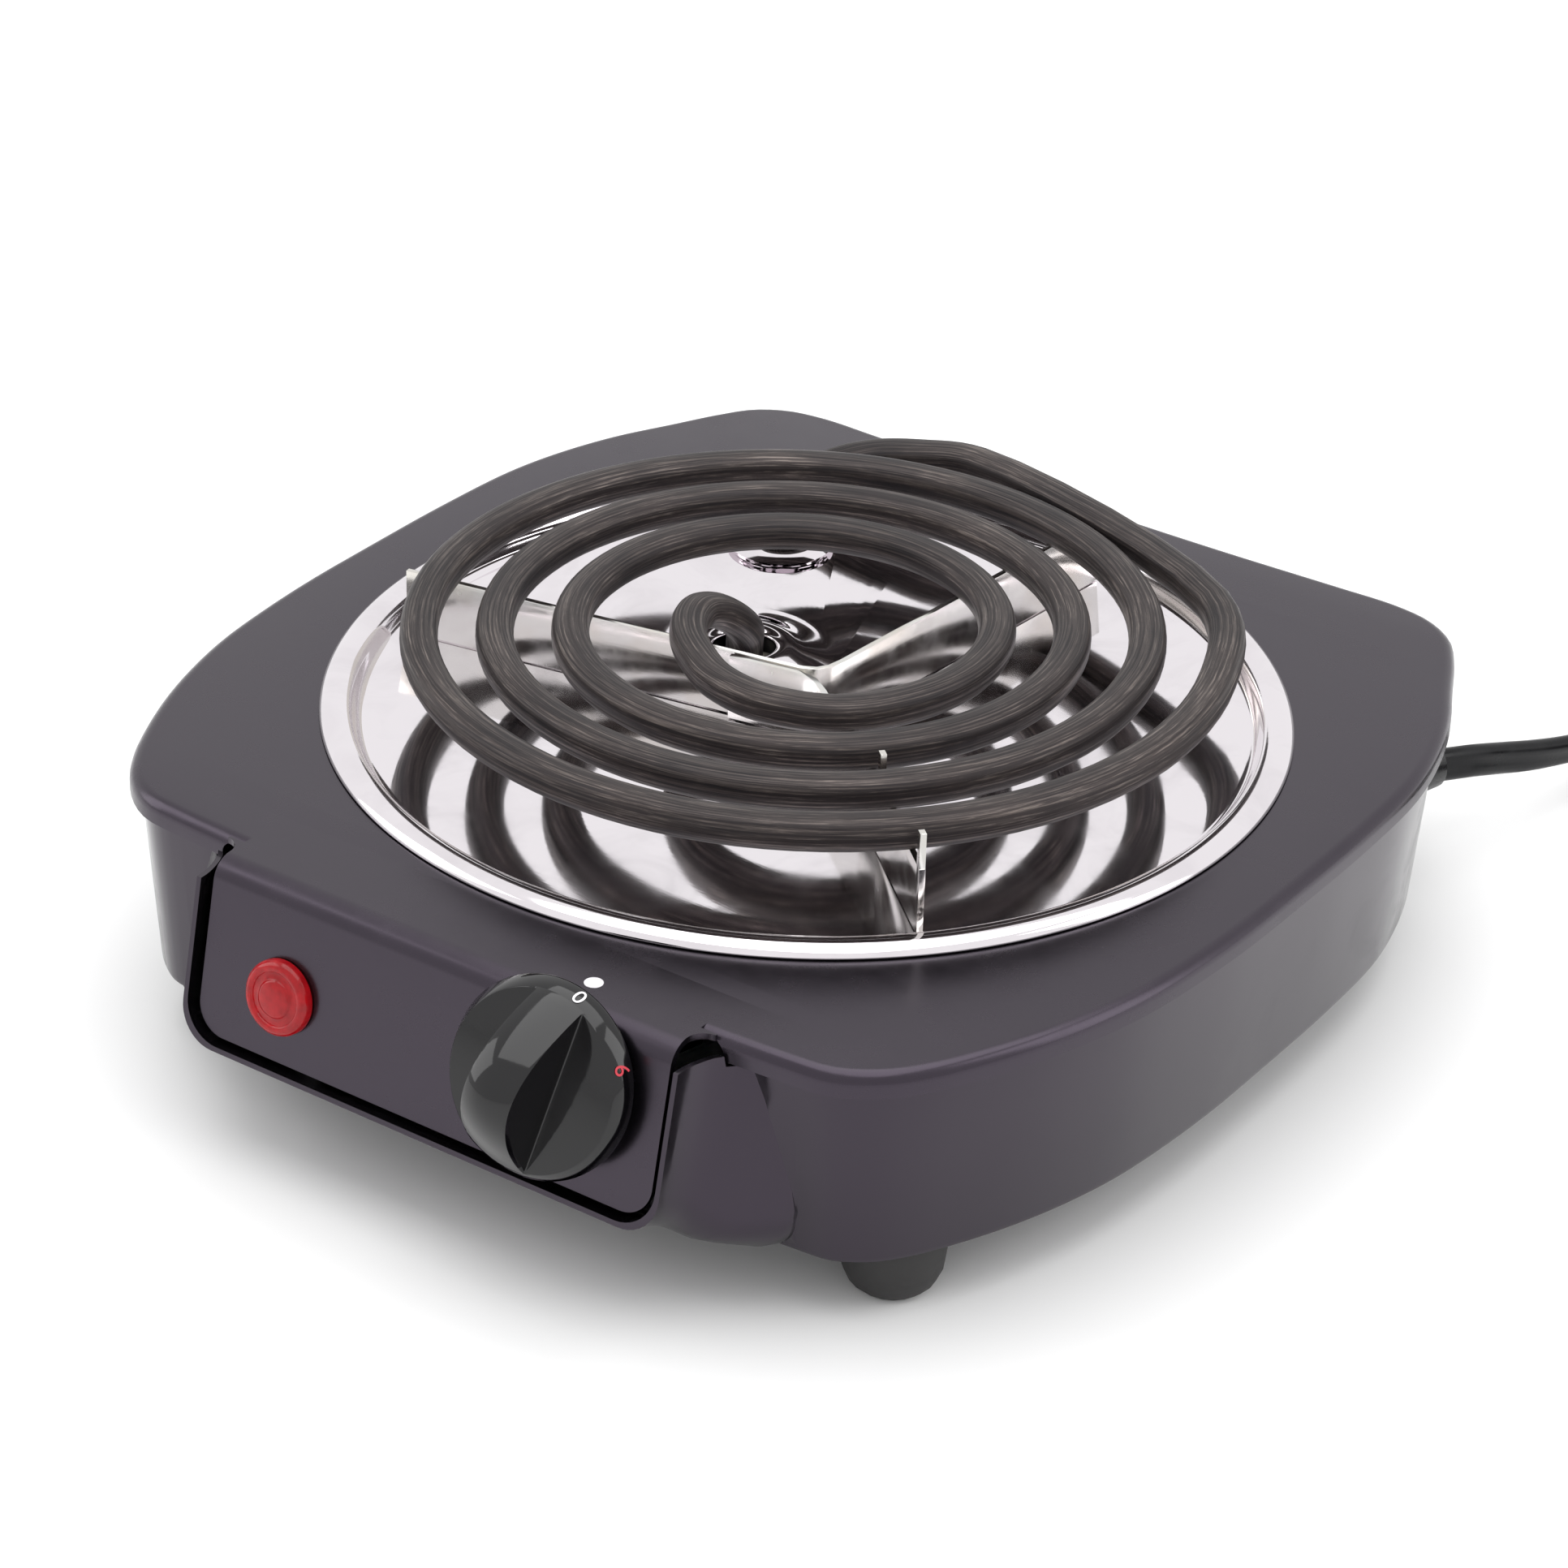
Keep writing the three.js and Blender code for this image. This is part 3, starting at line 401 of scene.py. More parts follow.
HEADING = math.radians(CORD_HEADING)
DROOP = math.radians(CORD_DROOP)
CORD_ALONG = Vector((
    math.cos(HEADING) * math.cos(DROOP), math.sin(HEADING) * math.cos(DROOP), -math.sin(DROOP),
))
CORD_ACROSS = Vector((-math.sin(HEADING), math.cos(HEADING), 0))
CORD = frame_of(CORD_ACROSS, CORD_ALONG.cross(CORD_ACROSS), CORD_ALONG, at(*CORD_EXIT))


# ------------------------------------------------------------------ supply cord
def cord_line():
    """Centreline of the cord: out of the relief, down to the table, then a flat coil and up to the plug."""
    straight = [CORD @ Vector((0, 0, d * MM)) for d in (-3, 3, 9, 15, 21)]
    falling = [at(*p) for p in (
        (83.6, 127.2, -39.6), (85.8, 134.0, -41.4), (87.6, 140.0, -42.8), (89.3, 146.1, -44.0),
        (91.0, 153.0, -45.5), (92.7, 160.0, -47.2), (94.5, 167.0, -48.9), (96.4, 174.0, -50.3),
        (98.6, 182.0, -50.9), (100.6, 188.5, -51.0),
    )]
    cx, cy = CORD_COIL_CENTRE
    turns = []
    start = 165
    points_a_turn = 24
    last_stretch = 0.55      # of a turn, over which the cord climbs to the plug
    widening = 5.5
    climb = 9.0
    steps = int(CORD_COIL_TURNS * points_a_turn)
    for i in range(steps + 1):
        turn = i / points_a_turn
        angle = math.radians(start) - 2 * math.pi * turn
        radius = CORD_COIL_RADIUS - (CORD_DIAMETER - 0.15) * turn
        rise = max(0.0, (turn - CORD_COIL_TURNS + last_stretch) / last_stretch)
        lift = rise * rise * (3 - 2 * rise)
        turns.append(at(
            cx + (radius + widening * lift) * math.cos(angle),
            cy + (radius + widening * lift) * math.sin(angle),
            TABLE + CORD_WIDTH / 2 + 0.1 + lift * climb,
        ))
    return straight + falling + turns


def twin_section(lobe, apart, count=9):
    """Outline of two round wires moulded together side by side."""
    points = []
    for sign in (1, -1):
        for i in range(count):
            angle = math.radians(-118 + 236 * i / (count - 1)) + (0 if sign > 0 else math.pi)
            points.append((sign * apart / 2 * MM + lobe * math.cos(angle) * MM, lobe * math.sin(angle) * MM))
    return points


def make_cord():
    line = catmull(cord_line(), 4)

    def turned_by(share):
        eased = min(1, share / CORD_TURN_SHARE)
        return math.radians(CORD_TURN_AT_EXIT + (CORD_TURN_IN_COIL - CORD_TURN_AT_EXIT) * eased)

    section = twin_section(CORD_LOBE, CORD_WIRES_APART)
    body = sweep("supply_cord", line, section, across=CORD_ACROSS, twist=turned_by)
    soften(body, 0, 60)
    return body, line


# ------------------------------------------------------------------ cover, panel and base
def make_outline():
    half = [Vector((x, y, 0)) for x, y in COVER_OUTLINE]
    mirrored = [Vector((-x, y, 0)) for x, y in reversed(COVER_OUTLINE[1:-1])]
    loop = half + mirrored
    opened = loop + loop[:1]
    around = [loop[-1], *opened, loop[1]]
    line = catmull(around, 12)
    start = 12
    stop = len(line) - 12
    return even(line[start:stop], OUTLINE_POINTS)[::-1]


OUTLINE = make_outline()


def outline_ring(inset, z):
    ring = []
    for i, p in enumerate(OUTLINE):
        along = (OUTLINE[(i + 1) % OUTLINE_POINTS] - OUTLINE[i - 1]).normalized()
        ring.append(at(p.x - along.y * inset, p.y + along.x * inset, z))
    return ring


def rolled_levels(inset, steps):
    levels = []
    for i in range(steps + 1):
        angle = math.pi / 2 * i / steps
        levels.append((
            inset + COVER_ROLL * (1 - math.cos(angle)),
            -COVER_ROLL + COVER_ROLL * math.sin(angle),
        ))
    return levels


def tab_shape(half_width, length, corner, top, steps=10):
    points = [(-half_width, top)]
    for i in range(steps + 1):
        angle = math.pi + math.pi / 2 * i / steps
        points.append((
            -half_width + corner + corner * math.cos(angle),
            -length + corner + corner * math.sin(angle),
        ))
    return points + [(-x, y) for x, y in reversed(points)]


def make_panel_sheet():
    """The cover's plate running forward, over the bend and down as the control panel."""
    bend = math.pi / 2 - TILT
    tangent = BEND_RADIUS * math.tan(bend / 2)
    middle = (PANEL_CORNER_Y + tangent, -BEND_RADIUS)
    down = (-math.sin(TILT), -math.cos(TILT))

    def face(depth):
        line = [(-92, -depth)]
        for i in range(13):
            angle = math.pi / 2 + bend * i / 12
            line.append((
                middle[0] + (BEND_RADIUS - depth) * math.cos(angle),
                middle[1] + (BEND_RADIUS - depth) * math.sin(angle),
            ))
        end = PANEL_LENGTH + 3
        line.append((PANEL_CORNER_Y + end * down[0] - depth * down[1], end * down[1] + depth * down[0]))
        return line

    profile = face(0) + face(COVER_SHEET)[::-1]
    rings = [[at(x, y, z) for y, z in profile] for x in (-PANEL_HALF_WIDTH, PANEL_HALF_WIDTH)]
    sheet = loft("panel_sheet", rings, lambda p: (p.y, p.z))
    shape = tab_shape(PANEL_HALF_WIDTH + 0.01, PANEL_LENGTH, PANEL_CORNER_RADIUS, 30)
    rings = [[PANEL @ (Vector((x, y, out)) * MM) for x, y in shape] for out in (-40, 20)]
    trim = loft("panel_trim", rings, lambda p: (p.x, p.z))
    return combine(sheet, [trim], "INTERSECT")


def make_ear_gap():
    """The room in the skirt for the panel and the lip beside it, with rounded top corners."""
    top = -COVER_SHEET - 0.02
    right = [(EAR_END, -20)]
    for i in range(9):
        angle = math.pi / 2 * i / 8
        right.append((EAR_END - EAR_ROUND * (1 - math.cos(angle)), top - EAR_ROUND * (1 - math.sin(angle))))
    outline = right + [(-x, z) for x, z in reversed(right)]
    return loft("ear_gap", [[at(x, y, z) for x, z in outline] for y in (-140, -98)], lambda p: (p.x, p.z))


def make_corner_fillet(side):
    """Rounds the inside corner in plan between the skirt and the side of the panel."""
    lap = 0.5
    near, far = PANEL_HALF_WIDTH, PANEL_HALF_WIDTH + CORNER_FILLET
    points = [(near - lap, EAR_FRONT + lap), (far, EAR_FRONT + lap)]
    for i in range(11):
        angle = math.pi / 2 * (1 + i / 10)
        points.append((
            far + CORNER_FILLET * math.cos(angle),
            EAR_FRONT - CORNER_FILLET * (1 - math.sin(angle)),
        ))
    points.append((near - lap, EAR_FRONT - CORNER_FILLET))
    return prism("corner_fillet", [(side * x, y) for x, y in points], -COVER_SHEET, 0)


def make_cover():
    outer_rings = [outline_ring(0, -COVER_SKIRT)] + [outline_ring(d, z) for d, z in rolled_levels(0, 8)]
    inner_rings = [outline_ring(COVER_SHEET, -COVER_SKIRT - 2)]
    inner_rings += [outline_ring(d, z - COVER_SHEET) for d, z in rolled_levels(COVER_SHEET, 4)]
    cover = loft("cover", outer_rings, plan)
    cut(cover, loft("cover_inside", inner_rings, plan))
    cut(cover, make_ear_gap())
    join(cover, make_panel_sheet(), make_corner_fillet(1), make_corner_fillet(-1))
    cut(
        cover,
        drum("pan_hole", PAN_HOLE_RADIUS, -20, 20, segments=180),
        drum("lamp_hole", 5.9, -10, 10, LAMP, 40),
        drum("shaft_hole", 6.5, -10, 10, KNOB, 40),
    )
    return soften(cover, 0.28, 30, 2)


def make_funnel(shrink, front, top):
    stations = [
        (front, 0, 0), (-1.2, 0.05, 0.02), (-2.5, 0.2, 0.1), (-4.2, 0.6, 0.25), (-6, 1.2, 0.5),
        (-7.6, 1.9, 0.9),
        (-9, 3, 1.4), (-10.6, 4.5, 2.2), (-12, 6.4, 3), (-14, 9, 3.3), (-19, 14, 3.6), (-28, 17, 3.8),
    ]
    rings = []
    for out, wider, deeper in stations:
        shape = tab_shape(LIP_HALF_WIDTH + wider - shrink, LIP_LENGTH + deeper - shrink, 7.5, top)
        rings.append([PANEL @ (Vector((x, y, LIP_PROUD + out)) * MM) for x, y in shape])
    funnel = loft("funnel", rings, lambda p: (p.x, p.z))
    return cut(funnel, box("funnel_below", -140, 140, -160, 0, -80, -BASE_DEPTH + shrink))


def make_base():
    bottom = BASE_TOP_INSET + BASE_DRAFT
    levels = [
        (bottom + 1.2, -BASE_DEPTH), (bottom + 0.3, -BASE_DEPTH + 0.6), (bottom, -BASE_DEPTH + 1.6),
        (BASE_TOP_INSET, 1),
    ]
    base = loft("base", [outline_ring(d, z) for d, z in levels], plan)
    join(base, make_funnel(0, 0, 8))
    inside = loft("base_inside", [
        outline_ring(bottom + BASE_SHEET, -BASE_DEPTH + BASE_SHEET),
        outline_ring(BASE_TOP_INSET + BASE_SHEET, 4),
    ], plan)
    opening = prism(
        "base_opening", [(p.x * FLOOR_OPENING, p.y * FLOOR_OPENING) for p in OUTLINE],
        -BASE_DEPTH - 3, -BASE_DEPTH + 3,
    )
    skirt_room = loft("skirt_room", [outline_ring(-0.6, -COVER_SKIRT - 0.5), outline_ring(-0.6, 4)], plan)
    cut(
        skirt_room,
        loft("skirt_core", [
            outline_ring(COVER_SHEET + 0.35, -20), outline_ring(COVER_SHEET + 0.35, 20),
        ], plan),
        box("skirt_front", -EAR_END + 0.4, EAR_END - 0.4, -140, -90, -30, 30),
    )
    cut(
        base, inside, make_funnel(BASE_SHEET, 3, 12), opening,
        box("above", -140, 140, -160, 140, BASE_TOP, 30),
        box("above_lip", -140, 140, -160, -103.2, -3.2, 30),
        skirt_room, drum("cord_hole", 5.4, -12, 12, CORD, 40),
    )
    return soften(base, 0.3, 30, 2)


# ------------------------------------------------------------------ pan and element
def make_pan():
    t, f, rim = PAN_SHEET, PAN_FLOOR, PAN_RIM_RADIUS
    dish = turned("pan", [
        (0, f), (82.3, f), (83.0, f + 0.1), (83.6, f + 0.4), (84.1, f + 1.0), (84.6, f + 2.2),
        (85.1, f + 3.2),
        (85.7, f + 3.8), (86.6, f + 4.1), (87.8, f + 4.2), (89, f + 4.05), (90, f + 3.65), (90.7, f + 3.05),
        (rim, f + 2.5), (rim, 0.3), (rim - t, 0.3), (rim - t - 0.3, f + 2.7), (rim - 2.8, f + 3.3),
        (86.6, f + 3.1), (85.7, f + 2.5), (85.2, f + 0.9), (84.4, f - 0.4), (83, f - t), (0, f - t),
    ], 256)
    cut(
        dish,
        drum("hole_a", 17.6, -8, 8, shifted(*HOLE_INNER), 96),
        drum("hole_b", 10.6, -8, 8, shifted(*HOLE_OUTER), 96),
    )
    for name, base, crest, lip, rise, hole in (
        ("boss_a", 18.2, 8, 5.9, 2.2, HOLE_INNER), ("boss_b", 11.2, 7.2, 5.4, 1.8, HOLE_OUTER),
    ):
        join(dish, turned(name, [
            (base, f - t), (base, f), (base - 1, f + 0.05), (base - 2.5, f + 0.2),
            (crest + 3.4, f + rise * 0.6), (crest + 2.0, f + rise * 0.86), (crest + 0.7, f + rise),
            (crest - 0.6, f + rise), (lip + 0.5, f + rise - 0.4), (lip + 0.1, f + rise - 0.9),
            (lip, f + rise - 1.4), (lip + t, f + rise - 1.5), (crest - 0.4, f + rise - t),
            (crest + 0.4, f + rise - t), (crest + 3.2, f + rise * 0.6 - t), (base - 2.5, f + 0.1 - t),
        ], 96, shifted(*hole)))
    return soften(dish, 0, 40)


def coil_point(turns):
    radius = COIL_START_RADIUS - COIL_PITCH * turns
    angle = math.radians(COIL_BACK_ANGLE) - 2 * math.pi * turns
    return (COIL_CENTRE[0] + radius * math.cos(angle), COIL_CENTRE[1] + radius * math.sin(angle), COIL_Z)


def element_line():
    outer = [
        (*HOLE_OUTER, -22), (*HOLE_OUTER, -12), (*HOLE_OUTER, -2), (-43.9, 55, 1.6), (-45.2, 60, 4.8),
        (-46, 66, 6.3),
        (-43.4, 71.4, 8.6), (-36.6, 74.6, 11.4), (-26, 76.8, 13.8), (-14, 78.9, 15),
    ]
    spiral = [coil_point(0.22 + i / 16) for i in range(53)]
    inner = [
        (8.8, -27.6, COIL_Z), (-2.2, -26.1, COIL_Z), (-9.4, -21.9, COIL_Z), (-15.5, -16.7, COIL_Z),
        (-19.5, -10.9, COIL_Z), (-21, -5.6, 15), (-20.4, -1, 13.6), (-19.4, 3.2, 10.6), (-20, 7.6, 6),
        (-22.4, 11.2, 0.6), (*HOLE_INNER, -4), (*HOLE_INNER, -12), (*HOLE_INNER, -22),
    ]
    return [at(*p) for p in outer + spiral + inner]


def make_coil():
    sides = 32
    section = flattened_circle(TUBE_RADIUS * MM, sides, 0.9)
    coil = sweep("element", catmull(element_line(), 6), section, levelling=0.12)
    uv_along(coil, sides)
    return coil


def uv_along(piece, count):
    """Stores how far along and round a swept piece each vertex is, for streaks that follow it."""
    mesh = piece.data
    rings = len(mesh.vertices) // count
    distance = mesh.attributes.new("along", "FLOAT", "POINT")
    around_c = mesh.attributes.new("around_c", "FLOAT", "POINT")
    around_s = mesh.attributes.new("around_s", "FLOAT", "POINT")
    travelled = 0.0
    previous = None
    for k in range(rings):
        ring = [mesh.vertices[k * count + j].co for j in range(count)]
        centre = sum(ring, Vector()) / count
        if previous is not None:
            travelled += (centre - previous).length
        previous = centre
        for j in range(count):
            index = k * count + j
            distance.data[index].value = travelled
            around_c.data[index].value = math.cos(2 * math.pi * j / count)
            around_s.data[index].value = math.sin(2 * math.pi * j / count)


# ------------------------------------------------------------------ knob and lamp
def make_knob():
    """Flat disc with a sloping edge, and across it a straight grip whose back is a dome."""
    edge, face = KNOB_FACE_RADIUS, KNOB_FACE
    skirt = turned("knob", [
        (0, 3), (KNOB_RADIUS - 0.3, 3), (KNOB_RADIUS, 3.3), (KNOB_RADIUS, 4),
        (edge, face - 0.25), (edge - 0.25, face), (0, face),
    ], 128, KNOB)
    crown = [(0, 5)]
    for i in range(17):
        share = 1 - i / 16
        crown.append((edge * share, face - 0.2 + KNOB_CROWN * (1 - share ** 2)))
    dome = turned("knob_dome", crown, 128, KNOB)
    flank = [
        (GRIP_HALF_WIDTH, 24), (GRIP_HALF_WIDTH, face + 0.4), (GRIP_HALF_WIDTH + 0.1, face + 0.1),
        (GRIP_HALF_WIDTH + 0.4, face - 0.2), (17.5, face - 0.3), (17.5, 4),
    ]
    section = flank + [(-w, h) for w, h in reversed(flank)]
    rings = [[KNOB @ (Vector((w, y, h)) * MM) for w, h in section] for y in (-20, 20)]
    inverse = KNOB.inverted()

    def across(p):
        local = inverse @ p
        return local.x, local.z

    combine(dome, [loft("knob_bar", rings, across)], "INTERSECT")
    join(skirt, dome)
    cut(
        skirt,
        turned("knob_hollow", [(7, 1), (15.4, 1), (15.4, 5.2), (7, 5.2)], 96, KNOB),
        drum("knob_bore", 4.4, 1, 9.6, KNOB, 40),
        drum("knob_seat", 3.3, 9, 14.2, KNOB, 40),
    )
    return soften(skirt, 0.4, 28, 4)


def make_lens():
    lens = turned("lens", [
        (0, -6), (5.4, -6), (5.4, 0.3), (7, 0.3), (7, 1.3), (6.85, 1.75), (6.3, 2.35), (5.9, 2.5),
        (5.3, 2.5),
        (5.05, 2.35), (4.9, 2.05), (3.7, 2.05), (3.5, 2.2), (3.35, 2.5), (3.0, 2.62), (0, 2.7),
    ], 96, LAMP)
    return soften(lens, 0, 40)


# ------------------------------------------------------------------ materials
class Shader:
    """A node material with one Principled shader and short ways to add its maps."""

    def __init__(self, name, color, roughness, metallic=0.0, **sockets):
        self.material = bpy.data.materials.new(name)
        self.material.use_nodes = True
        self.tree = self.material.node_tree
        self.shader = self.tree.nodes["Principled BSDF"]
        self.shader.inputs["Base Color"].default_value = (*color, 1)
        self.shader.inputs["Roughness"].default_value = roughness
        self.shader.inputs["Metallic"].default_value = metallic
        for socket, value in sockets.items():
            self.shader.inputs[socket.replace("_", " ")].default_value = value
        self.height = None

    def add(self, kind, inputs=None, **settings):
        node = self.tree.nodes.new(kind)
        for key, value in settings.items():
            setattr(node, key, value)
        for key, value in (inputs or {}).items():
            if isinstance(value, bpy.types.NodeSocket):
                self.tree.links.new(value, node.inputs[key])
            else:
                node.inputs[key].default_value = value
        return node

    def place(self):
        return self.add("ShaderNodeTexCoord").outputs["Object"]

    def stretched(self, scale, source=None):
        mapping = self.add("ShaderNodeMapping", {"Vector": source or self.place(), "Scale": scale})
        return mapping.outputs["Vector"]

    def noise(self, scale, detail=3, rough=0.5, source=None, distort=0.0):
        return self.add("ShaderNodeTexNoise", {
            "Vector": source or self.place(), "Scale": scale, "Detail": detail,
            "Roughness": rough, "Distortion": distort,
        }).outputs["Fac"]

    def remap(self, value, low, high, out_low, out_high):
        return self.add("ShaderNodeMapRange", {
            "Value": value, "From Min": low, "From Max": high, "To Min": out_low, "To Max": out_high,
        }).outputs["Result"]

    def blend(self, factor, a, b):
        node = self.add("ShaderNodeMix", data_type="RGBA")
        self.tree.links.new(factor, node.inputs["Factor"])
        for index, color in ((6, a), (7, b)):
            if isinstance(color, bpy.types.NodeSocket):
                self.tree.links.new(color, node.inputs[index])
            else:
                node.inputs[index].default_value = (*color, 1)
        return node.outputs[2]

    def math(self, operation, a, b=0.0):
        node = self.add("ShaderNodeMath", {0: a, 1: b}, operation=operation)
        return node.outputs[0]

    def color(self, output):
        self.tree.links.new(output, self.shader.inputs["Base Color"])

    def roughness(self, output):
        self.tree.links.new(output, self.shader.inputs["Roughness"])

    def bump(self, output, distance, strength=1.0):
        node = self.add("ShaderNodeBump", {"Height": output, "Distance": distance, "Strength": strength})
        if self.height is not None:
            self.tree.links.new(self.height, node.inputs["Normal"])
        self.height = node.outputs["Normal"]
        self.tree.links.new(self.height, self.shader.inputs["Normal"])


def enamel_satin():
    """Black baked enamel on the cover: fine orange peel, dust and faint rubs."""
    s = Shader("cover_enamel", (0.003, 0.0026, 0.0033), 0.24, 0.0, IOR=1.62)
    s.shader.inputs["Specular Tint"].default_value = (0.93, 0.78, 1.0, 1)
    s.bump(s.noise(2600, 3, 0.6), 0.000012, 0.6)
    s.bump(s.noise(55, 4, 0.55), 0.00005, 0.2)
    s.roughness(s.remap(s.noise(90, 5, 0.65), 0.3, 0.75, 0.21, 0.31))
    dust = s.remap(s.noise(1100, 2, 0.7), 0.69, 0.80, 0.0, 0.6)
    s.color(s.blend(dust, (0.0026, 0.0023, 0.0030), (0.020, 0.018, 0.020)))
    return s.material


def enamel_gloss():
    """Glossy black enamel on the base: slow waviness, faint smudges and specks."""
    s = Shader("base_enamel", (0.003, 0.0026, 0.0032), 0.12, 0.0, IOR=1.58)
    s.shader.inputs["Specular Tint"].default_value = (0.93, 0.78, 1.0, 1)
    s.bump(s.noise(38, 2, 0.5), 0.00022, 0.25)
    s.bump(s.noise(900, 3, 0.5), 0.000008, 0.5)
    smudge = s.noise(70, 5, 0.6, distort=0.6)
    s.roughness(s.remap(smudge, 0.40, 0.72, 0.08, 0.22))
    specks = s.remap(s.noise(800, 2, 0.7), 0.70, 0.80, 0, 0.5)
    s.color(s.blend(specks, (0.003, 0.0026, 0.0032), (0.026, 0.021, 0.019)))
    return s.material


def pan_mirror():
    """Bright plated steel with the slow waves of pressed sheet and fine wipe marks."""
    s = Shader("pan_chrome", (0.80, 0.77, 0.80), 0.05, 1.0)
    s.bump(s.noise(22, 2, 0.5), 0.0009, 0.10)
    s.bump(s.noise(420, 2, 0.5, s.stretched((1, 8, 1))), 0.000006, 0.25)
    film = s.noise(60, 4, 0.6, distort=0.8)
    s.roughness(s.remap(film, 0.35, 0.75, 0.03, 0.11))
    s.color(s.blend(s.remap(film, 0.45, 0.8, 0, 0.5), (0.83, 0.79, 0.82), (0.66, 0.62, 0.65)))
    return s.material


def element_oxide():
    """Fired alloy sheath: brown-grey oxide rubbed in streaks along the tube."""
    s = Shader("element_sheath", (0.07, 0.06, 0.055), 0.5, 0.55)
    along = s.add("ShaderNodeAttribute", attribute_name="along").outputs["Fac"]
    around_c = s.add("ShaderNodeAttribute", attribute_name="around_c").outputs["Fac"]
    around_s = s.add("ShaderNodeAttribute", attribute_name="around_s").outputs["Fac"]

    def streaks(length_scale, round_scale, scale, detail):
        vector = s.add("ShaderNodeCombineXYZ", {
            "X": s.math("MULTIPLY", along, length_scale),
            "Y": s.math("MULTIPLY", around_c, round_scale),
            "Z": s.math("MULTIPLY", around_s, round_scale),
        }).outputs["Vector"]
        return s.noise(scale, detail, 0.62, vector)

    long_marks = streaks(7.0, 1.6, 5.0, 6)
    short_marks = streaks(26.0, 1.5, 6.0, 5)
    patches = s.noise(48, 4, 0.6)
    worn = s.remap(s.math("MULTIPLY", long_marks, short_marks), 0.27, 0.42, 0, 1)
    worn = s.math("MULTIPLY", worn, s.remap(patches, 0.38, 0.62, 0.15, 1.0))
    tone = s.blend(s.remap(patches, 0.35, 0.65, 0, 1), (0.012, 0.0095, 0.011), (0.028, 0.021, 0.021))
    tone = s.blend(s.remap(long_marks, 0.44, 0.60, 0, 0.85), tone, (0.060, 0.048, 0.045))
    s.color(s.blend(s.math("MULTIPLY", worn, 0.8), tone, (0.24, 0.20, 0.18)))
    s.roughness(s.remap(long_marks, 0.3, 0.7, 0.56, 0.36))
    s.bump(long_marks, 0.00006, 0.45)
    s.bump(s.noise(1800, 4, 0.6), 0.00003, 0.45)
    return s.material


def polished_strip():
    """Cut stainless strip: bright with fine lengthwise lines and heat tint."""
    s = Shader("support_steel", (0.72, 0.71, 0.69), 0.2, 1.0)
    lines = s.noise(600, 3, 0.6, s.stretched((0.15, 0.15, 6)))
    s.bump(lines, 0.00001, 0.5)
    s.roughness(s.remap(s.noise(90, 4, 0.6), 0.35, 0.7, 0.10, 0.28))
    heat_tint = s.remap(s.noise(60, 3, 0.5), 0.45, 0.75, 0, 0.6)
    s.color(s.blend(heat_tint, (0.74, 0.73, 0.71), (0.62, 0.56, 0.47)))
    return s.material


def zinc():
    s = Shader("zinc_steel", (0.5, 0.5, 0.5), 0.38, 1.0)
    spangle = s.add("ShaderNodeTexVoronoi", {"Vector": s.place(), "Scale": 240.0}).outputs["Color"]
    mottled = s.noise(120, 4, 0.6)
    s.color(s.blend(s.remap(mottled, 0.35, 0.7, 0, 1), (0.44, 0.45, 0.46), (0.60, 0.60, 0.59)))
    s.roughness(s.remap(s.add("ShaderNodeSeparateColor", {"Color": spangle}).outputs[0], 0, 1, 0.28, 0.48))
    s.bump(mottled, 0.00004, 0.3)
    return s.material


def rubber(name, color, grain=1500, roughness=0.62, shine=0.5):
    s = Shader(name, color, roughness, 0.0, Specular_IOR_Level=shine)
    s.bump(s.noise(grain, 4, 0.6), 0.00004, 0.55)
    rub = s.noise(110, 4, 0.6)
    s.roughness(s.remap(rub, 0.35, 0.7, roughness - 0.14, roughness + 0.12))
    s.color(s.blend(s.remap(rub, 0.45, 0.8, 0, 0.8), color, tuple(c * 2.1 + 0.006 for c in color)))
    return s.material


def moulding(name, color, roughness=0.12, marks=0.5):
    """A glossy moulded plastic with light scuffs."""
    s = Shader(name, color, roughness, 0.0, Specular_IOR_Level=0.5)
    scuff = s.noise(160, 5, 0.65, distort=1.2)
    s.roughness(s.remap(scuff, 0.42, 0.75, roughness, roughness + 0.16 * marks))
    s.bump(s.noise(70, 2, 0.5), 0.00008, 0.2)
    s.bump(s.noise(1400, 3, 0.6), 0.000006, 0.5)
    specks = s.remap(s.noise(1100, 2, 0.7), 0.70, 0.8, 0, 0.6)
    s.color(s.blend(specks, color, tuple(c * 1.5 + 0.01 for c in color)))
    return s.material


def ceramic():
    s = Shader("ceramic", (0.76, 0.73, 0.66), 0.5)
    s.bump(s.noise(900, 4, 0.6), 0.00005, 0.5)
    s.color(s.blend(s.remap(s.noise(140, 4, 0.6), 0.4, 0.75, 0, 1), (0.78, 0.75, 0.68), (0.66, 0.61, 0.53)))
    return s.material


def brass():
    s = Shader("brass", (0.68, 0.50, 0.22), 0.28, 1.0)
    tarnish = s.noise(150, 5, 0.6)
    s.color(s.blend(s.remap(tarnish, 0.4, 0.75, 0, 1), (0.72, 0.54, 0.25), (0.45, 0.31, 0.13)))
    s.roughness(s.remap(tarnish, 0.35, 0.7, 0.2, 0.42))
    s.bump(s.noise(1200, 3, 0.6), 0.00001, 0.4)
    return s.material


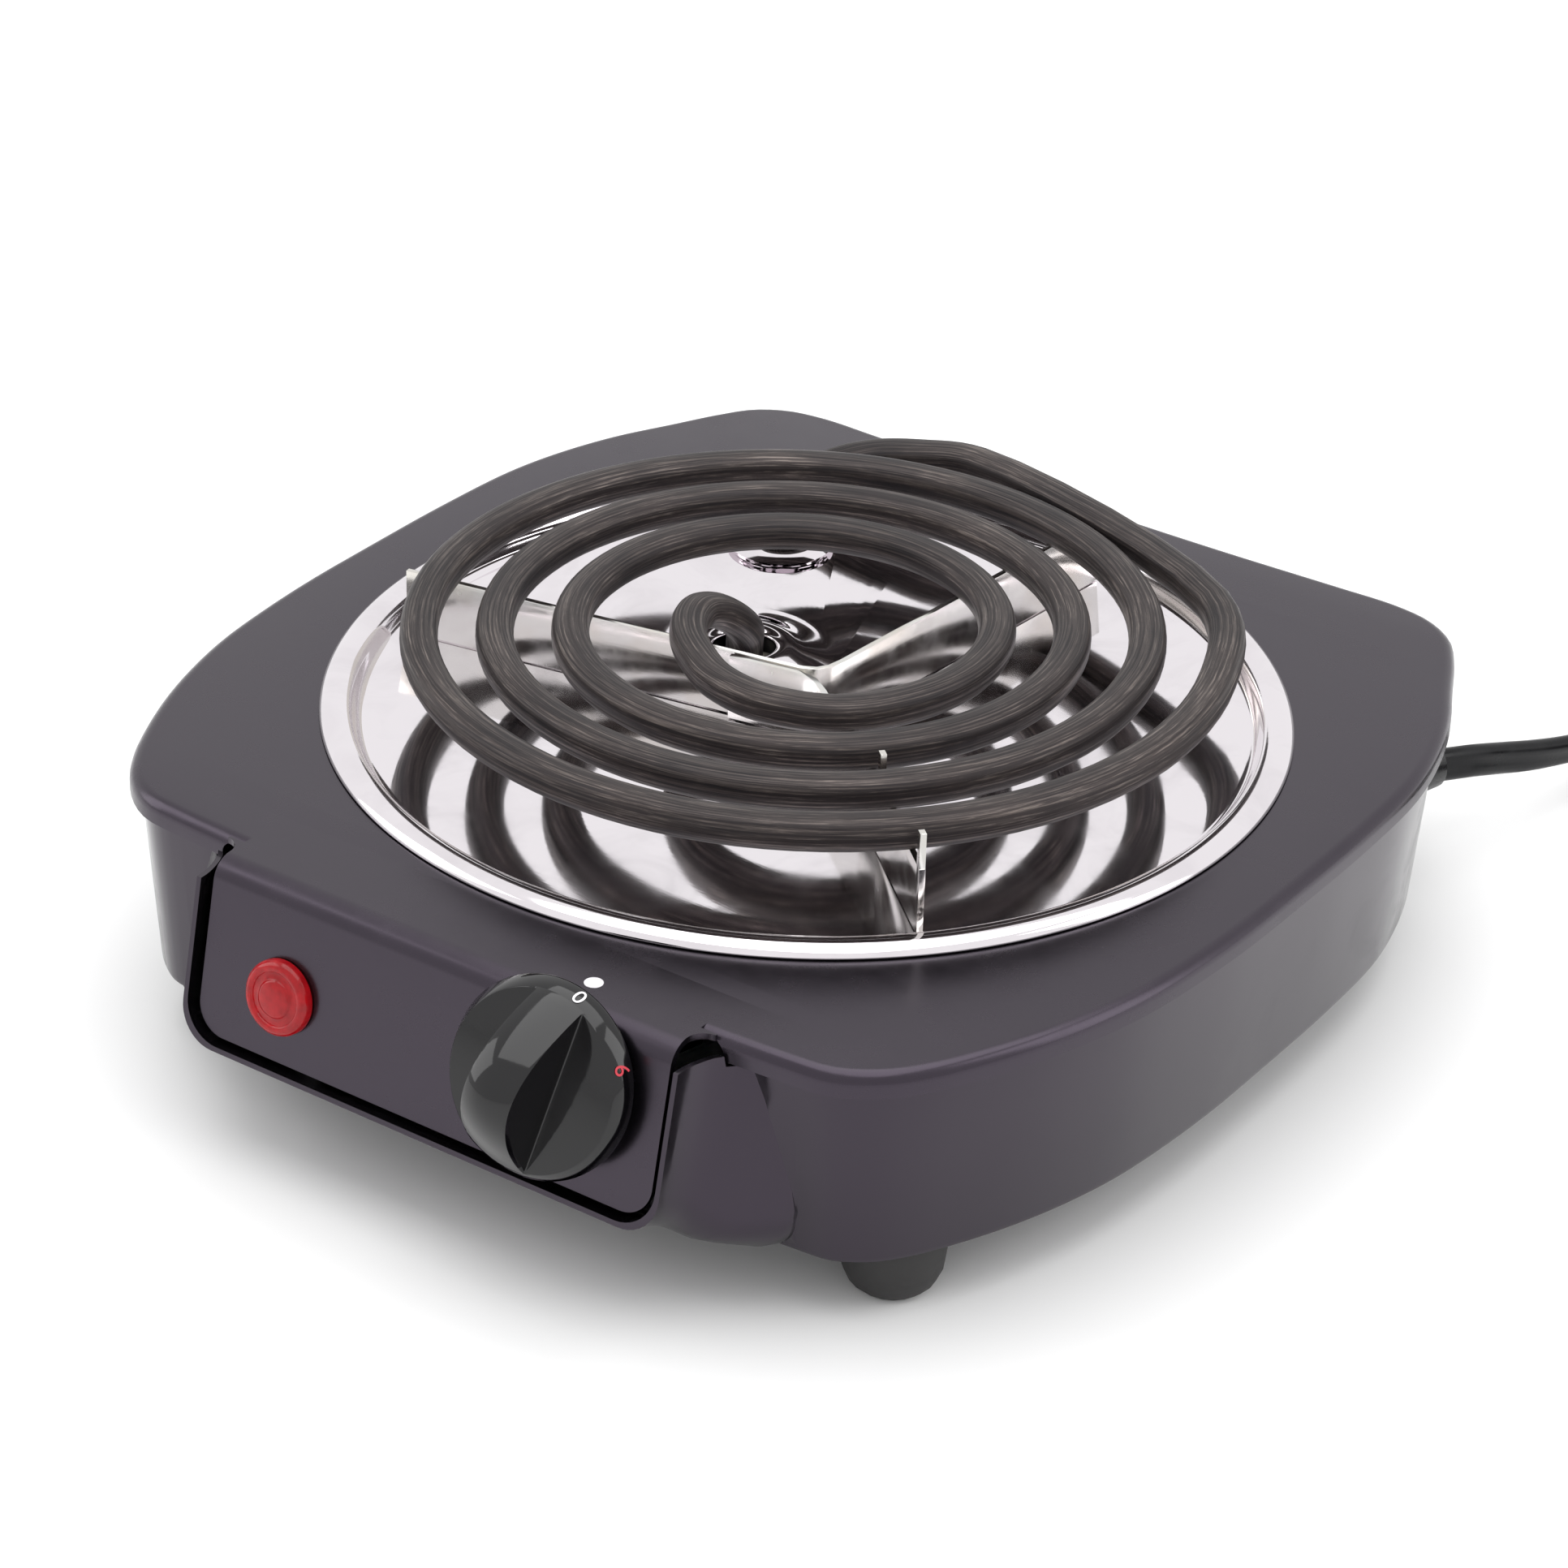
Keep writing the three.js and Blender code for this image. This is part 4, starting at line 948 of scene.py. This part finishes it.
def lens_red():
    """Translucent red acrylic that catches light at its edge and steps, with a faint painted glow from
    emission.
    """
    s = Shader("lens_red", (0.42, 0.008, 0.012), 0.08, 0.0, Transmission_Weight=0.4, Specular_IOR_Level=0.25)
    local = s.noise(500, 3, 0.6)
    s.color(s.blend(s.remap(local, 0.35, 0.7, 0, 1), (0.34, 0.002, 0.006), (0.54, 0.006, 0.012)))
    # Painted glow: a faint red emission makes the lens shine, though no lamp lights it.
    s.shader.inputs["Emission Color"].default_value = (0.6, 0.01, 0.015, 1)
    s.shader.inputs["Emission Strength"].default_value = 0.06
    s.roughness(s.remap(s.noise(260, 4, 0.6), 0.35, 0.7, 0.05, 0.16))
    s.bump(local, 0.00002, 0.4)
    return s.material


def paint(name, color):
    """Screen-printed ink, slightly worn."""
    s = Shader(name, color, 0.4)
    worn = s.remap(s.noise(1300, 4, 0.65), 0.58, 0.75, 0, 0.6)
    s.color(s.blend(worn, color, tuple(c * 0.55 for c in color)))
    s.bump(s.noise(2000, 3, 0.6), 0.00001, 0.5)
    return s.material


MATERIALS = {
    "cover_enamel": enamel_satin(),
    "base_enamel": enamel_gloss(),
    "pan_chrome": pan_mirror(),
    "element_sheath": element_oxide(),
    "support_steel": polished_strip(),
    "zinc_steel": zinc(),
    "foot_rubber": rubber("foot_rubber", (0.016, 0.015, 0.015)),
    "ceramic": ceramic(),
    "bakelite": moulding("bakelite", (0.014, 0.013, 0.012), 0.2),
    "knob_black": moulding("knob_black", (0.003, 0.0027, 0.0034), 0.06, 0.3),
    "brass": brass(),
    "lens_red": lens_red(),
    "lamp_body": moulding("lamp_body", (0.72, 0.69, 0.62), 0.35),
    "wire_white": rubber("wire_white", (0.70, 0.67, 0.60), 1500, 0.5),
    "wire_black": rubber("wire_black", (0.018, 0.018, 0.018), 1500, 0.5),
    "cord_black": rubber("cord_black", (0.003, 0.003, 0.0038), 1100, 0.36, 0.22),
    "plug_black": rubber("plug_black", (0.014, 0.014, 0.015), 900, 0.5),
}


def dress(piece, slot):
    piece.data.materials.clear()
    piece.data.materials.append(MATERIALS[slot])
    for polygon in piece.data.polygons:
        polygon.material_index = 0


# ------------------------------------------------------------------ build
SLOT_OF = {part["node"]: part["material_slot"] for part in frame["record"]["subparts"]}


def stand_for(piece, node, body):
    """A finer shape shown in place of a CAD node."""
    piece.name = node + "_fine"
    dress(piece, SLOT_OF[node])
    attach(piece, body)
    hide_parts(node)
    return piece


cord_piece, cord_path = make_cord()
dress(cord_piece, "cord_black")
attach(cord_piece, "housing")
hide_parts("power_cord", "cord_coil")

stand_for(make_cover(), "top_cover", "housing")
stand_for(make_base(), "base_shell", "housing")
stand_for(make_pan(), "drip_pan", "housing")
stand_for(make_coil(), "heating_coil", "housing")
stand_for(make_knob(), "control_knob", "knob")
stand_for(make_lens(), "indicator_lens", "housing")

FINE = (
    "top_cover", "base_shell", "drip_pan", "heating_coil", "control_knob", "indicator_lens",
    "power_cord", "cord_coil",
)
ROUNDED = {"coil_support_rear": 0.25, "coil_support_front": 0.25, "plug_body": 1.6, "terminal_block": 0.4}
for name, node in frame["nodes"].items():
    if name not in FINE:
        dress(node, SLOT_OF[name])
        soften(node, ROUNDED.get(name, 0.15), 35, 2)


# ------------------------------------------------------------------ printed marks
def disc(name, radius, place, slot_material, body, segments=40, height=0.05):
    piece = turned(name, [(0, 0), (radius, 0), (radius, height), (0, height)], segments, place)
    piece.data.materials.append(slot_material)
    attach(piece, body)
    return piece


def dial_number(name, text, clockwise, ink):
    """A number printed on the knob's sloping edge, its top outwards."""
    font = bpy.data.curves.new(name, "FONT")
    font.body = text
    font.size = 4.2 * MM
    font.align_x = "CENTER"
    font.align_y = "CENTER"
    font.extrude = 0.03 * MM
    draft = bpy.data.objects.new(name, font)
    bpy.context.scene.collection.objects.link(draft)
    piece = bpy.data.objects.new(name, bpy.data.meshes.new_from_object(draft.evaluated_get(
        bpy.context.evaluated_depsgraph_get())))
    bpy.data.objects.remove(draft)
    bpy.context.scene.collection.objects.link(piece)
    angle = math.radians(clockwise)
    outwards = Vector((math.sin(angle), math.cos(angle), 0))
    axis = Vector((0, 0, 1))
    slope = Vector((KNOB_RADIUS - KNOB_FACE_RADIUS, 4 - KNOB_FACE)).normalized()
    down = outwards * slope.x + axis * slope.y
    normal = outwards * -slope.y + axis * slope.x
    middle = outwards * (KNOB_RADIUS + KNOB_FACE_RADIUS) / 2 + axis * (4 + KNOB_FACE) / 2 + normal * 0.06
    piece.data.transform(KNOB_STRAIGHT @ frame_of(down.cross(normal), down, normal, middle * MM))
    piece.data.materials.clear()
    piece.data.materials.append(ink)
    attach(piece, "knob")


WHITE_INK = paint("white_ink", (0.85, 0.83, 0.86))
RED_INK = paint("red_ink", (0.55, 0.03, 0.05))
disc("pointer_dot", 1.7, shifted(27.2, -102.6, 0.01), WHITE_INK, "housing")
dial_number("number_off", "0", 18, WHITE_INK)
dial_number("number_high", "6", 67, RED_INK)


# ------------------------------------------------------------------ floor and light
def floor():
    bpy.ops.mesh.primitive_plane_add(size=12, location=(0, 0, -0.0002))
    plane = bpy.context.object
    plane.name = "floor"
    s = Shader("floor", (0.86, 0.86, 0.86), 0.55)
    s.color(s.blend(s.noise(3, 3, 0.5), (0.84, 0.84, 0.84), (0.88, 0.88, 0.88)))
    plane.data.materials.append(s.material)


def softbox(name, place, target, width, height, power, color=(1, 1, 1)):
    data = bpy.data.lights.new(name, "AREA")
    data.shape = "RECTANGLE"
    data.size = width
    data.size_y = height
    data.energy = power
    data.color = color
    light = bpy.data.objects.new(name, data)
    bpy.context.scene.collection.objects.link(light)
    light.location = place
    light.rotation_mode = "QUATERNION"
    light.rotation_quaternion = (Vector(target) - Vector(place)).to_track_quat("-Z", "Y")


def light_scene():
    world = bpy.data.worlds.new("world")
    world.use_nodes = True
    background = world.node_tree.nodes["Background"]
    background.inputs["Color"].default_value = (1, 1, 1, 1)
    background.inputs["Strength"].default_value = 1.0
    bpy.context.scene.world = world
    middle = (0, 0, 0.03)
    softbox("overhead", (0.0, 0.1, 1.5), middle, 1.6, 1.6, 14)
    softbox("left", (-1.3, -0.6, 0.8), middle, 0.9, 1.2, 6)
    softbox("right", (1.2, 0.5, 0.7), middle, 0.7, 1.2, 5)


floor()
light_scene()
bpy.context.scene.view_settings.view_transform = "Standard"
